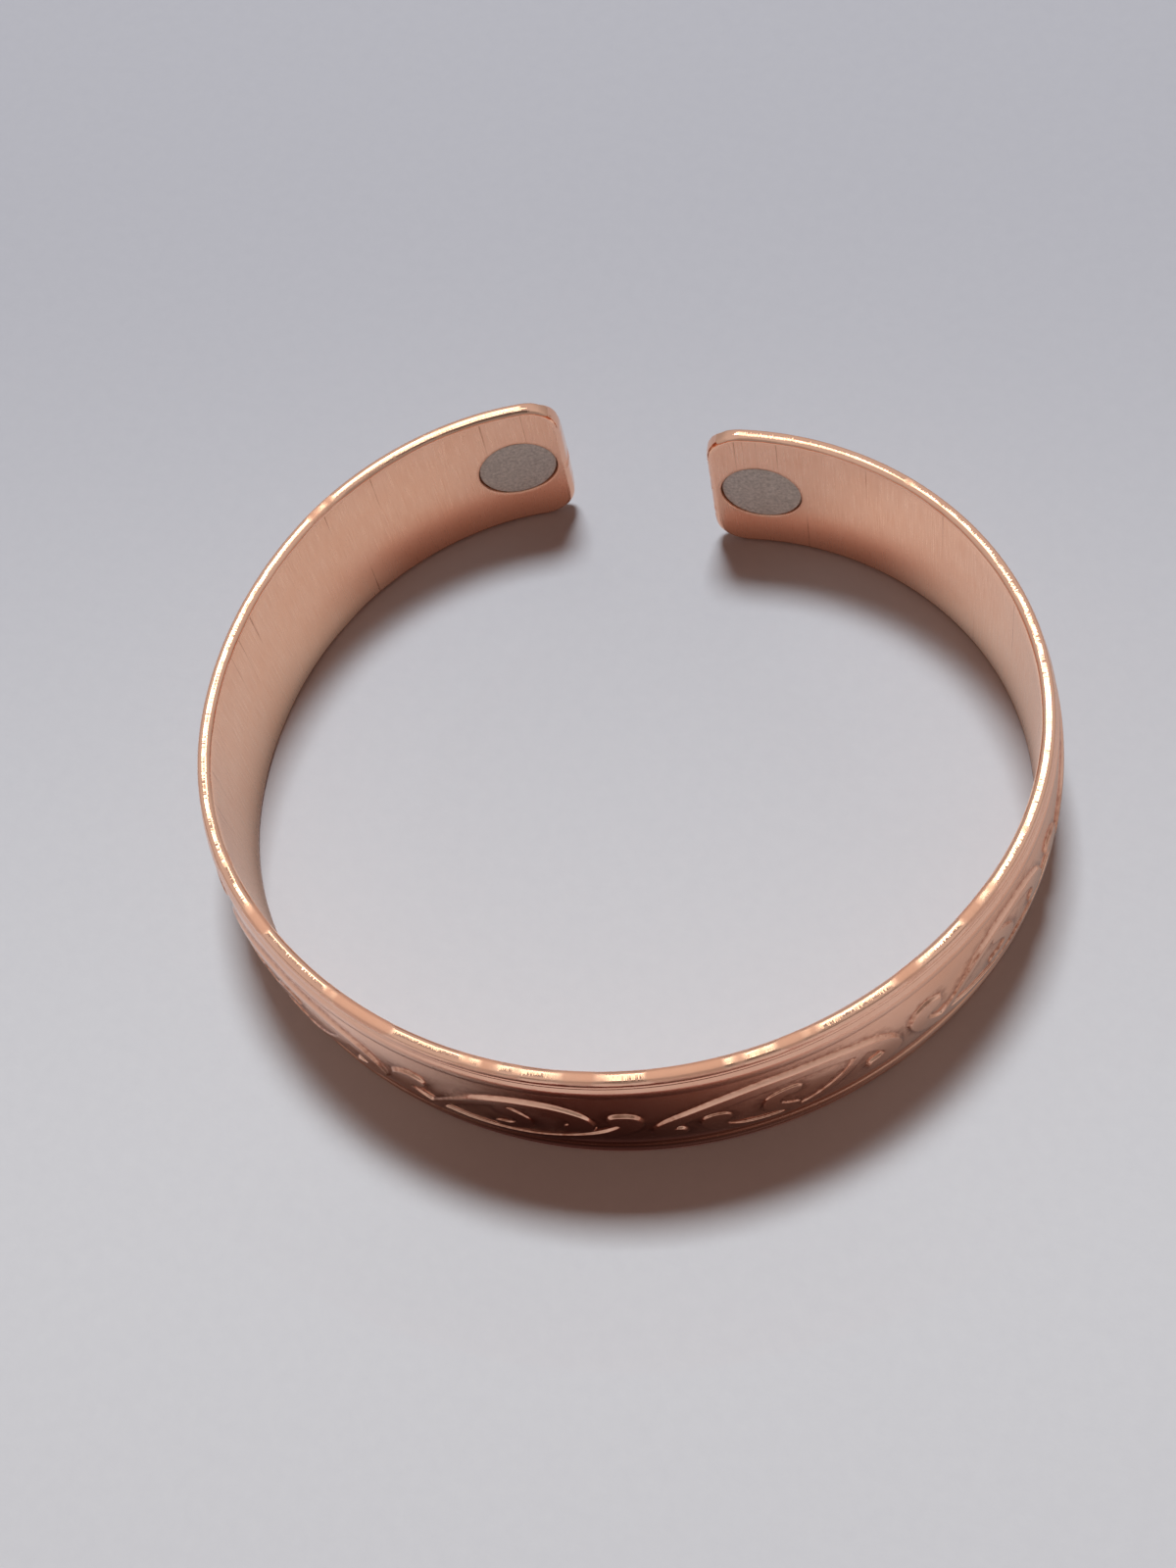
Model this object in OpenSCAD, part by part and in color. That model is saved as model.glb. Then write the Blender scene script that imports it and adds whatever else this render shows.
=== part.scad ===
// Open copper bracelet: an oval cuff with a rolled scroll relief and a small magnet sunk in each end.
// It lies on its lower rim, with the wrist's axis along Z and the gap between the ends towards +Y.

/* [Band] */
// Width of the strip, from the lower rim to the upper rim
band_h = 13.5; // [13:0.1:15]
// Thickness of the panel at its foot, beside the borders
panel_t = 1.15; // [1.1:0.05:1.6]
// Height of the panel's dome, from its foot to its middle
panel_dome = 0.4; // [0.1:0.05:0.5]
// Width of the panel between the two borders
panel_h = 9; // [8.6:0.1:9.4]
// Height of the two borders above the panel's foot
border_rise = 0.15; // [0.15:0.05:0.3]
// Width of each border
border_w = 1.4; // [1.1:0.1:1.6]
// Height of each border's middle above its two sides
border_crown = 0.12; // [0.04:0.01:0.14]
// Depth of the groove between each border and the rim, below the border's middle
groove_drop = 0.2; // [0.17:0.01:0.25]
// Drop from the border's middle to the outer edge of the rim
edge_drop = 0.15; // [0.1:0.01:0.16]
// Radius of the rim on the wrist's side
inner_round = 0.4; // [0.2:0.05:0.5]
// Radius of the rim on the outer side
outer_round = 0.45; // [0.3:0.05:0.5]
// Radius of the corners at both ends
corner_r = 2.8; // [2:0.1:3.5]

/* [Oval] */
// Radius of the inner face at the left end
left_end_r = 20; // [18:0.5:22]
// Turn of the inner face there, up to the shoulder
left_end_turn = 17.5; // [16.5:0.5:19]
// Radius of the left shoulder
left_shoulder_r = 24; // [22.5:0.5:25.5]
// Radius of the left side
left_side_r = 28.5; // [27:0.5:30]
// Radius of the left corner
left_corner_r = 22.5; // [21.5:0.5:24]
// Radius of the long front stretch, opposite the gap
front_r = 30; // [29:0.5:30.5]
// Radius of the right corner and side
right_side_r = 22.5; // [21.5:0.5:23.5]
// Radius of the inner face at the right end
right_end_r = 23; // [22:0.5:24]
// Turn of the inner face there, from the side
right_end_turn = 55.5; // [54:0.5:56]

/* [Relief] */
// Number of scrolls, each turned half round against the one before
scroll_count = 8; // [2:2:8]
// Distance from one scroll to the next, along the panel
scroll_pitch = 18.2; // [18.1:0.1:18.4]
// Length of one scroll
scroll_length = 17.4; // [15:0.1:17.5]
// Height of one scroll
scroll_height = 7.1; // [6.5:0.1:7.5]
// Height of the scrolls above the panel
scroll_rise = 0.2; // [0.15:0.05:0.4]
// How far the row of scrolls sits from the middle of the strip, towards the right end
scroll_shift = 3.4; // [-3:0.1:3.6]

/* [Magnets] */
// Diameter of each magnet
magnet_d = 6; // [4:0.5:6]
// Thickness of each magnet
magnet_t = 0.55; // [0.4:0.05:0.6]
// Distance from the strip's end to the magnet's middle, along the inner face
magnet_inset = 3.8; // [3.7:0.1:6]
// Play around each magnet and under it
magnet_play = 0.05; // [0.03:0.01:0.08]
// Depth of each magnet's face below the inner face
magnet_sink = 0.05; // [0:0.01:0.08]

/* [Hidden] */
$fn = 180;
copper = [0.79, 0.47, 0.35];
magnet_grey = [0.5, 0.47, 0.44];

// The stretches of the inner face, from the left end round the front to the right end. A row has its
// radius, and the sides of the right triangle, 3-4-5 or 7-24-25, whose slope is the way from the
// stretch's centre to where it ends. So all stretches meet face to face at whole-number places.
RADIUS = 0;
END = 1;
first_way = [-0.6, 0.8];
oval = [
    [left_end_r, first_way],
    [left_shoulder_r, [-0.96, 0.28]],
    [left_side_r, [-0.96, -0.28]],
    [left_corner_r, [-0.6, -0.8]],
    [front_r, [0.96, -0.28]],
    [right_side_r, [0.6, 0.8]],
    [right_end_r, outward(angle_of([0.6, 0.8]) + right_end_turn)],
];
last = len(oval) - 1;
border_t = panel_t + border_rise;
edge_t = border_t - edge_drop;
// Depth from the inner face at which the oval's box and the row of scrolls are measured.
lay_t = 1.4;
step_run = 0.12;
dome_steps = 3;
crown_steps = 2;
relief_root = panel_t / 2;
over = 2;
arc_steps = 5;

// Angles and ways out of the oval, both seen from a stretch's centre.
function outward(angle) = [cos(angle), sin(angle)];
function angle_of(way) = atan2(way.y, way.x);
function start_way(i) = i == 0 ? outward(angle_of(first_way) - left_end_turn) : oval[i - 1][END];
function end_way(i) = oval[i][END];
function turn(i) = (angle_of(end_way(i)) - angle_of(start_way(i)) + 360) % 360;
function centre(i) = i == 0 ? [0, 0] : centre(i - 1) + (oval[i - 1][RADIUS] - oval[i][RADIUS]) * start_way(i);

// The oval's outer box, by which the bracelet is set on its origin.
sweep_step = 0.5;
whole = 100;
rim_points = [for (i = [0 : last])
    for (a = [0 : sweep_step : turn(i)])
        centre(i) + (oval[i][RADIUS] + lay_t) * outward(angle_of(start_way(i)) + a)];
rim_x = [for (p = rim_points) p.x];
rim_y = [for (p = rim_points) p.y];
middle = [
    round((min(rim_x) + max(rim_x)) / 2 * whole) / whole,
    round((min(rim_y) + max(rim_y)) / 2 * whole) / whole,
];

// Lengths along the strip at a depth t from the inner face.
function run(i, t) = (oval[i][RADIUS] + t) * turn(i) * PI / 180;
function length_to(i, t) = i == 0 ? 0 : length_to(i - 1, t) + run(i - 1, t);
function stretch_at(s, t, i = 0) = i == last || s < length_to(i + 1, t) ? i : stretch_at(s, t, i + 1);
function turn_at(s, t, i) = (s - length_to(i, t)) / (oval[i][RADIUS] + t) * 180 / PI;

// Puts its children at the length s along the depth t: X along the strip, Y up and Z out of the oval.
module on_strip(s, t) {
    i = stretch_at(s, t);
    angle = angle_of(start_way(i)) + turn_at(s, t, i);
    place = centre(i) + (oval[i][RADIUS] + t) * outward(angle) - middle;
    translate([place.x, place.y, band_h / 2])
        rotate([0, 0, angle + 90])
            rotate([90, 0, 0])
                children();
}

// Sweeps a section round the oval: X of the section is the depth from the inner face, Y is the height.
// Each stretch is a whole ring, cut to its own wedge.
reach = 100;
module along_oval(section) {
    for (i = [0 : last]) {
        place = centre(i) - middle;
        translate([place.x, place.y, band_h / 2])
            intersection() {
                rotate_extrude()
                    translate([oval[i][RADIUS], 0])
                        polygon(section);
                translate([0, 0, -band_h])
                    linear_extrude(2 * band_h)
                        polygon([[0, 0], reach * start_way(i), reach * end_way(i)]);
            }
    }
}

function arc(x, y, r, from, to) = [for (i = [0 : arc_steps])
    let (a = from + (to - from) * i / arc_steps) [x + r * cos(a), y + r * sin(a)]];
function upside_down(points) = [for (i = [len(points) - 1 : -1 : 0]) [points[i].x, -points[i].y]];

// The panel's dome, at a height w above the strip's middle, and the crown of the upper border.
function dome_t(w) = panel_t + panel_dome * (1 - pow(2 * w / panel_h, 2));
dome = [for (k = [1 : dome_steps])
    let (w = panel_h / 2 * k / dome_steps) [dome_t(w), w]];
crown = [for (k = [-crown_steps : crown_steps])
    let (u = k / crown_steps)
        [border_t - border_crown * u * u, (panel_h + border_w) / 2 + u * (border_w / 2 - step_run)]];

// The upper half of the strip's section, from the panel's middle to the inner face.
half_section = concat(
    dome,
    crown,
    [[border_t - groove_drop, panel_h / 2 + border_w]],
    [[edge_t, panel_h / 2 + border_w + step_run]],
    arc(edge_t - outer_round, band_h / 2 - outer_round, outer_round, 0, 90),
    arc(inner_round, band_h / 2 - inner_round, inner_round, 90, 180)
);
band_section = concat(upside_down(half_section), [[dome_t(0), 0]], half_section);

// The relief's shell follows the dome, scroll_rise above it, and is rooted well inside the panel.
relief_half_h = panel_h / 2 - step_run;
relief_lines = concat([for (p = dome) if (p.y < relief_half_h) p.y], [relief_half_h]);
relief_top = [for (w = relief_lines) [dome_t(w) + scroll_rise, w]];
relief_section = concat(
    [[relief_root, relief_half_h], [relief_root, -relief_half_h]],
    upside_down(relief_top),
    [[dome_t(0) + scroll_rise, 0]],
    relief_top
);

// One scroll is three strokes. Each row is a station of a stroke's middle line, in hundredths of the
// scroll's length and height from its middle, with half the stroke's width in hundredths of its height.
ALONG = 0;
UP = 1;
HALF = 2;
lower_stroke = [
    [-38, 19, 10.5],
    [-41, 19, 12.5],
    [-44.5, 12, 12.5],
    [-45.2, 2, 10.3],
    [-41.8, -14, 10.3],
    [-35.6, -26.5, 9.2],
    [-27.4, -33, 8.8],
    [-18.5, -38.8, 7.9],
    [-4.8, -41.2, 7.4],
    [8.9, -39, 8.2],
    [22.6, -30, 8.8],
    [34.2, -17.6, 8.5],
    [42, -4.7, 9.5],
    [45.9, 7.4, 10.2],
    [45.2, 17.2, 12],
    [41.6, 19.5, 11.2],
];
upper_stroke = [
    [-32.2, -23, 8.5],
    [-27.1, -5.6, 7.9],
    [-20.5, 12, 8.2],
    [-10.1, 29.6, 8.8],
    [2.4, 39, 8.9],
    [15.8, 37.4, 9.2],
    [24.7, 25, 10.2],
    [27.3, 9.3, 12.2],
    [26.4, 2, 12.9],
    [24, 0, 11],
];
inner_curl = [
    [-2.4, 24, 9.6],
    [2.4, 14.8, 8.9],
    [5.1, 3.7, 9.5],
    [4, -8.9, 8.9],
    [-0.7, -15.8, 7.5],
    [-4.5, -15.8, 7.8],
];
steps_each = 2;
cap_steps = 6;
fold_slack = 0.03;

// A smooth line through the stations, with its half width, as [x, y, half width].
function to_size(row) = [
    row[ALONG] * scroll_length / 100,
    row[UP] * scroll_height / 100,
    row[HALF] * scroll_height / 100,
];
function blend(a, b, c, d, u) = 0.5 * (2 * b + (c - a) * u + (2 * a - 5 * b + 4 * c - d) * u * u
    + (3 * b - a - 3 * c + d) * u * u * u);
function stations(table) = let (p = [for (row = table) to_size(row)], n = len(p))
    concat([2 * p[0] - p[1]], p, [2 * p[n - 1] - p[n - 2]]);
function smooth(table) = let (p = stations(table), n = len(table)) concat(
    [for (i = [1 : n - 1])
        for (k = [0 : steps_each - 1])
            blend(p[i - 1], p[i], p[i + 1], p[i + 2], k / steps_each)],
    [p[n]]);
function flat(p) = [p.x, p.y];
function along(line, i) = let (a = line[max(i - 1, 0)], b = line[min(i + 1, len(line) - 1)])
    flat(b - a) / norm(flat(b - a));
function beside(line, i, side) = let (d = along(line, i)) flat(line[i]) + side * line[i][2] * [-d.y, d.x];

// The round cap at a stroke's end, turned clockwise from its left side.
function cap(line, i, first_turn) = let (d = along(line, i), a = atan2(d.y, d.x) + first_turn)
    [for (k = [1 : cap_steps - 1])
        let (b = a - 180 * k / cap_steps) flat(line[i]) + line[i][2] * [cos(b), sin(b)]];

// Points of a side that fold back inside the stroke, at a tight bend, are left out.
function clear_of(p, line) = min([for (c = line) norm(p - flat(c)) - c[2]]) > -fold_slack;
function stroke(table) = let (line = smooth(table), n = len(line) - 1)
    [for (p = concat(
        [for (i = [0 : n]) beside(line, i, 1)],
        cap(line, n, 90),
        [for (i = [n : -1 : 0]) beside(line, i, -1)],
        cap(line, 0, -90)))
        if (clear_of(p, line)) p];

module scroll_outline() {
    polygon(stroke(lower_stroke));
    polygon(stroke(upper_stroke));
    polygon(stroke(inner_curl));
}

// The row of scrolls, as prisms that reach through the relief's shell.
strip_middle = length_to(last + 1, lay_t) / 2;
module scroll_row() {
    for (k = [0 : scroll_count - 1]) {
        s = strip_middle + scroll_shift + (k + 0.5 - scroll_count / 2) * scroll_pitch;
        on_strip(s, lay_t)
            rotate([0, 0, 180 * ((k + 1) % 2)])
                translate([0, 0, -over])
                    linear_extrude(2 * over)
                        scroll_outline();
    }
}

module relief() {
    intersection() {
        along_oval(relief_section);
        scroll_row();
    }
}

// What is cut away to round the two corners of an end: side is 1 where the strip starts, -1 where it stops.
module end_corners(side) {
    s = side == 1 ? 0 : length_to(last + 1, 0);
    for (up = [-1, 1])
        on_strip(s, 0)
            translate([side * corner_r, up * (band_h / 2 - corner_r), -over])
                linear_extrude(2 * over)
                    difference() {
                        translate([side == 1 ? -corner_r - over : 0, up == 1 ? 0 : -corner_r - over])
                            square(corner_r + over);
                        circle(corner_r);
                    }
}

module magnet_seat(s) {
    on_strip(s, 0)
        translate([0, 0, -over])
            cylinder(d = magnet_d + 2 * magnet_play, h = over + magnet_sink + magnet_t + magnet_play);
}

module magnet(s) {
    color(magnet_grey)
        on_strip(s, 0)
            translate([0, 0, magnet_sink])
                cylinder(d = magnet_d, h = magnet_t);
}

left_magnet_at = magnet_inset;
right_magnet_at = length_to(last + 1, 0) - magnet_inset;

module cuff_band() {
    color(copper)
        difference() {
            union() {
                along_oval(band_section);
                relief();
            }
            end_corners(1);
            end_corners(-1);
            magnet_seat(left_magnet_at);
            magnet_seat(right_magnet_at);
        }
}

module magnet_left() {
    magnet(left_magnet_at);
}

module magnet_right() {
    magnet(right_magnet_at);
}

cuff_band();
magnet_left();
magnet_right();
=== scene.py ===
"""Open copper cuff with a rolled scroll relief and a magnet sunk in each end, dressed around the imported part.

The strip is first drawn flat, in millimetres: X runs along the strip, Z across it and Y inwards, so that
the outer face looks towards -Y. Geometry Nodes then set the scroll slices in a row, each turned half round
against the one before, join the two ends on and bend the whole strip round the oval.
"""

import logging
import math
from collections.abc import Callable
from dataclasses import dataclass, field
from enum import Enum
from functools import partial, reduce

import bmesh
import bpy
import numpy as np
from mathutils import Matrix, Vector
from mathutils.geometry import delaunay_2d_cdt


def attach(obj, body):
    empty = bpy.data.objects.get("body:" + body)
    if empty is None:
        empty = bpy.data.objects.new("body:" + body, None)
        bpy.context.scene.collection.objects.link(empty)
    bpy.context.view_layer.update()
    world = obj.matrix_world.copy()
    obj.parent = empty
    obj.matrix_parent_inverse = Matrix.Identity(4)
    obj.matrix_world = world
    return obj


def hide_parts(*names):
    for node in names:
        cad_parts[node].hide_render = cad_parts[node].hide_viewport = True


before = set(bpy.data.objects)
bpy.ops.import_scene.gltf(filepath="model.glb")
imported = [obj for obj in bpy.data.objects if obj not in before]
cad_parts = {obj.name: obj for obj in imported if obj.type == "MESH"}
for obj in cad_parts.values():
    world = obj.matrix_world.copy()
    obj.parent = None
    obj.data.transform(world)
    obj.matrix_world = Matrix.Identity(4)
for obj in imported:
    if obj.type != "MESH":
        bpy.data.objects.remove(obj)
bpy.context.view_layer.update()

log = logging.getLogger("copper_cuff")

MM = 0.001
TINY = 1e-6  # in millimetres, as good as nothing
SAME_PLACE = 1e-5  # in millimetres, between points of a net that are one
SAME_POINT = 0.003 * MM  # between points of a finished mesh that are one
NO_LENGTH = 0.0005 * MM  # of an edge that is dropped
HUNDREDTH = 0.01
STRIP_UV = "strip_uv"
ROOT = "root"

Plan = tuple[float, float]
Triple = tuple[float, float, float]
Station = tuple[float, float, float, float]
Colour = tuple[float, float, float, float]
Marks = dict[str, np.ndarray | float]
Socket = bpy.types.NodeSocket
Sockets = dict[str, Socket]
Feed = Socket | float | str | tuple[float, ...]


class Zone(Enum):
    """Point attributes by which the copper knows what part of the strip it is on."""

    INNER = "inner_face"
    RIM = "rim"
    # Patina in the relief's hollows, and painted shade: the border's foot and groove, the flanks in the
    # scrolls' eyes and tips, and the seat's wall under its lip.
    FOOT = "relief_foot"
    RECESS = "relief_recess"


class Slot(Enum):
    """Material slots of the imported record."""

    COPPER = "copper"
    MAGNET = "magnet"


class End(Enum):
    """The strip's two ends, each with the sign of the way from it into the strip."""

    LEFT = 1
    RIGHT = -1


def smoothstep(x: np.ndarray | float) -> np.ndarray:
    """Returns the soft step from 0 to 1 over x from 0 to 1."""
    x = np.clip(x, 0.0, 1.0)
    return x * x * (3.0 - 2.0 * x)


def polar(angle: float) -> np.ndarray:
    """Returns the unit vector at an angle in degrees from +X."""
    return np.array([math.cos(math.radians(angle)), math.sin(math.radians(angle))])


def way_to(azimuth: float, elevation: float) -> Vector:
    """Returns the unit vector to a place in the studio, from azimuth 0 in front (-Y) to 90 at +X."""
    a, e = math.radians(azimuth), math.radians(elevation)
    return Vector((math.sin(a) * math.cos(e), -math.cos(a) * math.cos(e), math.sin(e)))


def distances(line: np.ndarray) -> np.ndarray:
    """Returns each point's distance along a line from its first point."""
    return np.concatenate([[0.0], np.cumsum(np.linalg.norm(np.diff(line, axis=0), axis=1))])


def linked(name: str, data: bpy.types.ID) -> bpy.types.Object:
    """Makes an object and links it into the scene.

    Args:
        name: Name of the object.
        data: Its mesh, curve, light or camera.

    Returns:
        The object.
    """
    made = bpy.data.objects.new(name, data)
    bpy.context.scene.collection.objects.link(made)
    return made


@dataclass
class Oval:
    """The oval's plan: stretches of the inner face as (radius, way to its end from the stretch's centre).

    The stretches run from the left end round the front to the right end, as in the part's source.
    """

    stretches: tuple[tuple[float, Plan], ...] = (
        (20.0, (-0.6, 0.8)),
        (24.0, (-0.96, 0.28)),
        (28.5, (-0.96, -0.28)),
        (22.5, (-0.6, -0.8)),
        (30.0, (0.96, -0.28)),
        (22.5, (0.6, 0.8)),
        (23.0, (0.0, 0.0)),
    )
    left_end_turn: float = 17.5
    right_end_turn: float = 55.5
    step: float = 0.25
    places: int = 2

    def angles(self) -> list[float]:
        """Returns the angle at which each stretch starts, and last the one where the strip ends."""
        ends = [math.degrees(math.atan2(y, x)) for _, (x, y) in self.stretches[:-1]]
        return [ends[0] - self.left_end_turn, *ends, ends[-1] + self.right_end_turn]

    def turns(self) -> list[float]:
        """Returns how many degrees each stretch turns."""
        angles = self.angles()
        return [(b - a) % 360.0 for a, b in zip(angles, angles[1:])]

    def line(self, depth: float) -> np.ndarray:
        """Samples the strip's plan.

        Args:
            depth: Distance of the line from the inner face, in millimetres.

        Returns:
            Points of the line in the first stretch's frame, from the left end to the right one.
        """
        centre, radius_before, points = np.zeros(2), self.stretches[0][0], []
        for (radius, _), start, turn in zip(self.stretches, self.angles(), self.turns()):
            centre = centre + (radius_before - radius) * polar(start)
            count = math.ceil(turn / self.step)
            for k in range(1 if points else 0, count + 1):
                points.append(centre + (radius + depth) * polar(start + turn * k / count))
            radius_before = radius
        return np.array(points)

    def middle(self, depth: float) -> np.ndarray:
        """Returns the middle of the box round the line at a depth, to the part's own rounding."""
        line = self.line(depth)
        return np.round((line.min(axis=0) + line.max(axis=0)) / 2.0, self.places)

    def centred(self, depth: float) -> np.ndarray:
        """Returns the line at a depth about the origin."""
        return self.line(depth) - self.middle(depth)

    def length(self, depth: float) -> float:
        """Returns the strip's length at a depth, from its arcs."""
        stretches = zip(self.stretches, self.turns())
        return sum((radius + depth) * math.radians(turn) for (radius, _), turn in stretches)


@dataclass
class Section:
    """The strip's section: sizes in millimetres, with heights measured from the inner face outwards."""

    band_h: float = 13.5
    panel_t: float = 1.15
    panel_h: float = 9.0
    panel_dome: float = 0.4
    border_rise: float = 0.13
    border_w: float = 1.5
    border_crown: float = 0.16
    crest_at: float = 0.45
    crest_run: float = 0.8
    groove_drop: float = 0.19
    groove_run: float = 0.13
    edge_drop: float = 0.18
    edge_lean: float = 0.07
    lay_t: float = 1.4
    step_run: float = 0.12
    softness: float = 0.12
    inner_round: float = 0.42
    outer_round: float = 0.5
    outer_drop: float = 0.25
    corner_r: float = 2.8
    guard: float = 0.06
    patina_and_shade_most: float = 0.35
    rim_sharp: float = 1.2
    patch_half: float = 4.25
    patch_cells: int = 18
    rise_lines: int = 5
    crown_lines: int = 5
    groove_lines: int = 9
    inner_cells: int = 12
    arc_steps: int = 6

    @property
    def border_t(self) -> float:
        """Thickness at the top of the borders."""
        return self.panel_t + self.border_rise

    @property
    def half(self) -> float:
        """Half the strip's width."""
        return self.band_h / 2.0

    @property
    def run(self) -> float:
        """Width of each soft step."""
        return self.step_run + 2.0 * self.softness

    @property
    def border_foot(self) -> float:
        """Height above the strip's middle where the border starts to rise."""
        return self.panel_h / 2.0 - self.softness

    @property
    def groove_at(self) -> float:
        """Height above the strip's middle of the groove between the border and the rim."""
        return self.panel_h / 2.0 + self.border_w

    def top(self, w: np.ndarray | float) -> np.ndarray:
        """Works out the outer face with no relief: panel, crowned border, groove and rim.

        Args:
            w: Height above the strip's middle.

        Returns:
            The height of the face above the inner one.
        """
        away = np.abs(w)
        panel = self.panel_t + self.panel_dome * np.maximum(1.0 - (2.0 * away / self.panel_h) ** 2, 0.0)
        off_crown = np.maximum(away - self.panel_h / 2.0 - self.crest_at, 0.0) / self.crest_run
        border = self.border_t - self.border_crown * off_crown**2
        inside = panel + (border - panel) * smoothstep((away - self.border_foot) / self.run)
        fall = smoothstep((away - self.groove_at + self.groove_run) / self.groove_run)
        inside = inside + (self.border_t - self.groove_drop - inside) * fall
        climb = smoothstep((away - self.groove_at) / self.groove_run)
        outside = (away - self.groove_at) / (self.half - self.outer_round - self.groove_at)
        edge = self.border_t - self.edge_drop - self.edge_lean * np.clip(outside, 0.0, 1.0)
        return inside + (edge - inside) * climb

    def foot_patina_and_shade(self, w: np.ndarray | float) -> np.ndarray:
        """Works out how far patina and painted shade darken the border's foot and the groove.

        Args:
            w: Height above the strip's middle.

        Returns:
            0 for clean metal to 1 for dark.
        """
        away = np.abs(w)
        # Painted shade with patina: darker lines at the border's foot and in the groove.
        foot = 1.0 - np.abs(away - self.border_foot) / self.step_run
        groove = 1.0 - np.abs(away - self.groove_at) / self.groove_run
        return self.patina_and_shade_most * smoothstep(np.maximum(foot, groove))

    def step_lines(self) -> list[float]:
        """Lists the lines that give the border its form.

        Returns:
            Their heights above the strip's middle.
        """
        rise_end = self.border_foot + self.run
        fall_start = self.groove_at - self.groove_run
        return [
            self.border_foot - self.guard,
            *np.linspace(self.border_foot, rise_end, self.rise_lines).tolist(),
            *np.linspace(rise_end + self.guard, fall_start - self.guard, self.crown_lines).tolist(),
            *np.linspace(fall_start, self.groove_at + self.groove_run, self.groove_lines).tolist(),
            self.groove_at + self.groove_run + self.guard,
        ]

    def rim_profile(self, top: float) -> list[Plan]:
        """Lists the rim's profile from the outer face to the inner one.

        Args:
            top: Height of the outer face beside the rim.

        Returns:
            Pairs of the distance inside the outline and the height.
        """
        outer, down, inner = self.outer_round, self.outer_drop, self.inner_round
        quarter = [math.pi / 2.0 * k / self.arc_steps for k in range(self.arc_steps + 1)]
        profile = [(outer * (1.0 - math.sin(a)), top - down * (1.0 - math.cos(a))) for a in quarter]
        profile.append((0.0, (top - down + inner) / 2.0))
        profile += [(inner * (1.0 - math.cos(a)), inner * (1.0 - math.sin(a))) for a in quarter]
        return profile

    def patch_stations(self) -> np.ndarray:
        """Returns the heights of the panel patch's points where two slices meet."""
        return np.linspace(-self.patch_half, self.patch_half, self.patch_cells + 1)

    def inner_stations(self) -> np.ndarray:
        """Returns the heights of the inner face's points where two slices meet."""
        flat = self.half - self.inner_round
        return np.linspace(flat, -flat, self.inner_cells + 1)

    def loop(self) -> list[Plan]:
        """Draws the section from the panel's upper edge over the rims to its lower edge.

        Returns:
            Pairs of the height above the strip's middle and the height above the inner face.
        """
        above = [(w, float(self.top(w))) for w in (self.patch_half, *self.step_lines())]
        above += [(self.half - e, d) for e, d in self.rim_profile(float(self.top(self.half)))]
        inner = [(w, 0.0) for w in self.inner_stations()[1:-1]]
        return above + inner + [(-w, d) for w, d in reversed(above)]

    def marks(self, w: float, d: float) -> Marks:
        """Works out the zones' marks of one point of the section.

        Args:
            w: Height above the strip's middle.
            d: Height above the inner face.

        Returns:
            The marks, by the zones' names in lower case.
        """
        if d < TINY:
            return {"inner": 1.0}
        beyond = (abs(w) - (self.half - self.outer_round)) / self.outer_round
        return {"rim": smoothstep(beyond * self.rim_sharp), "foot": self.foot_patina_and_shade(w)}


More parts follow.
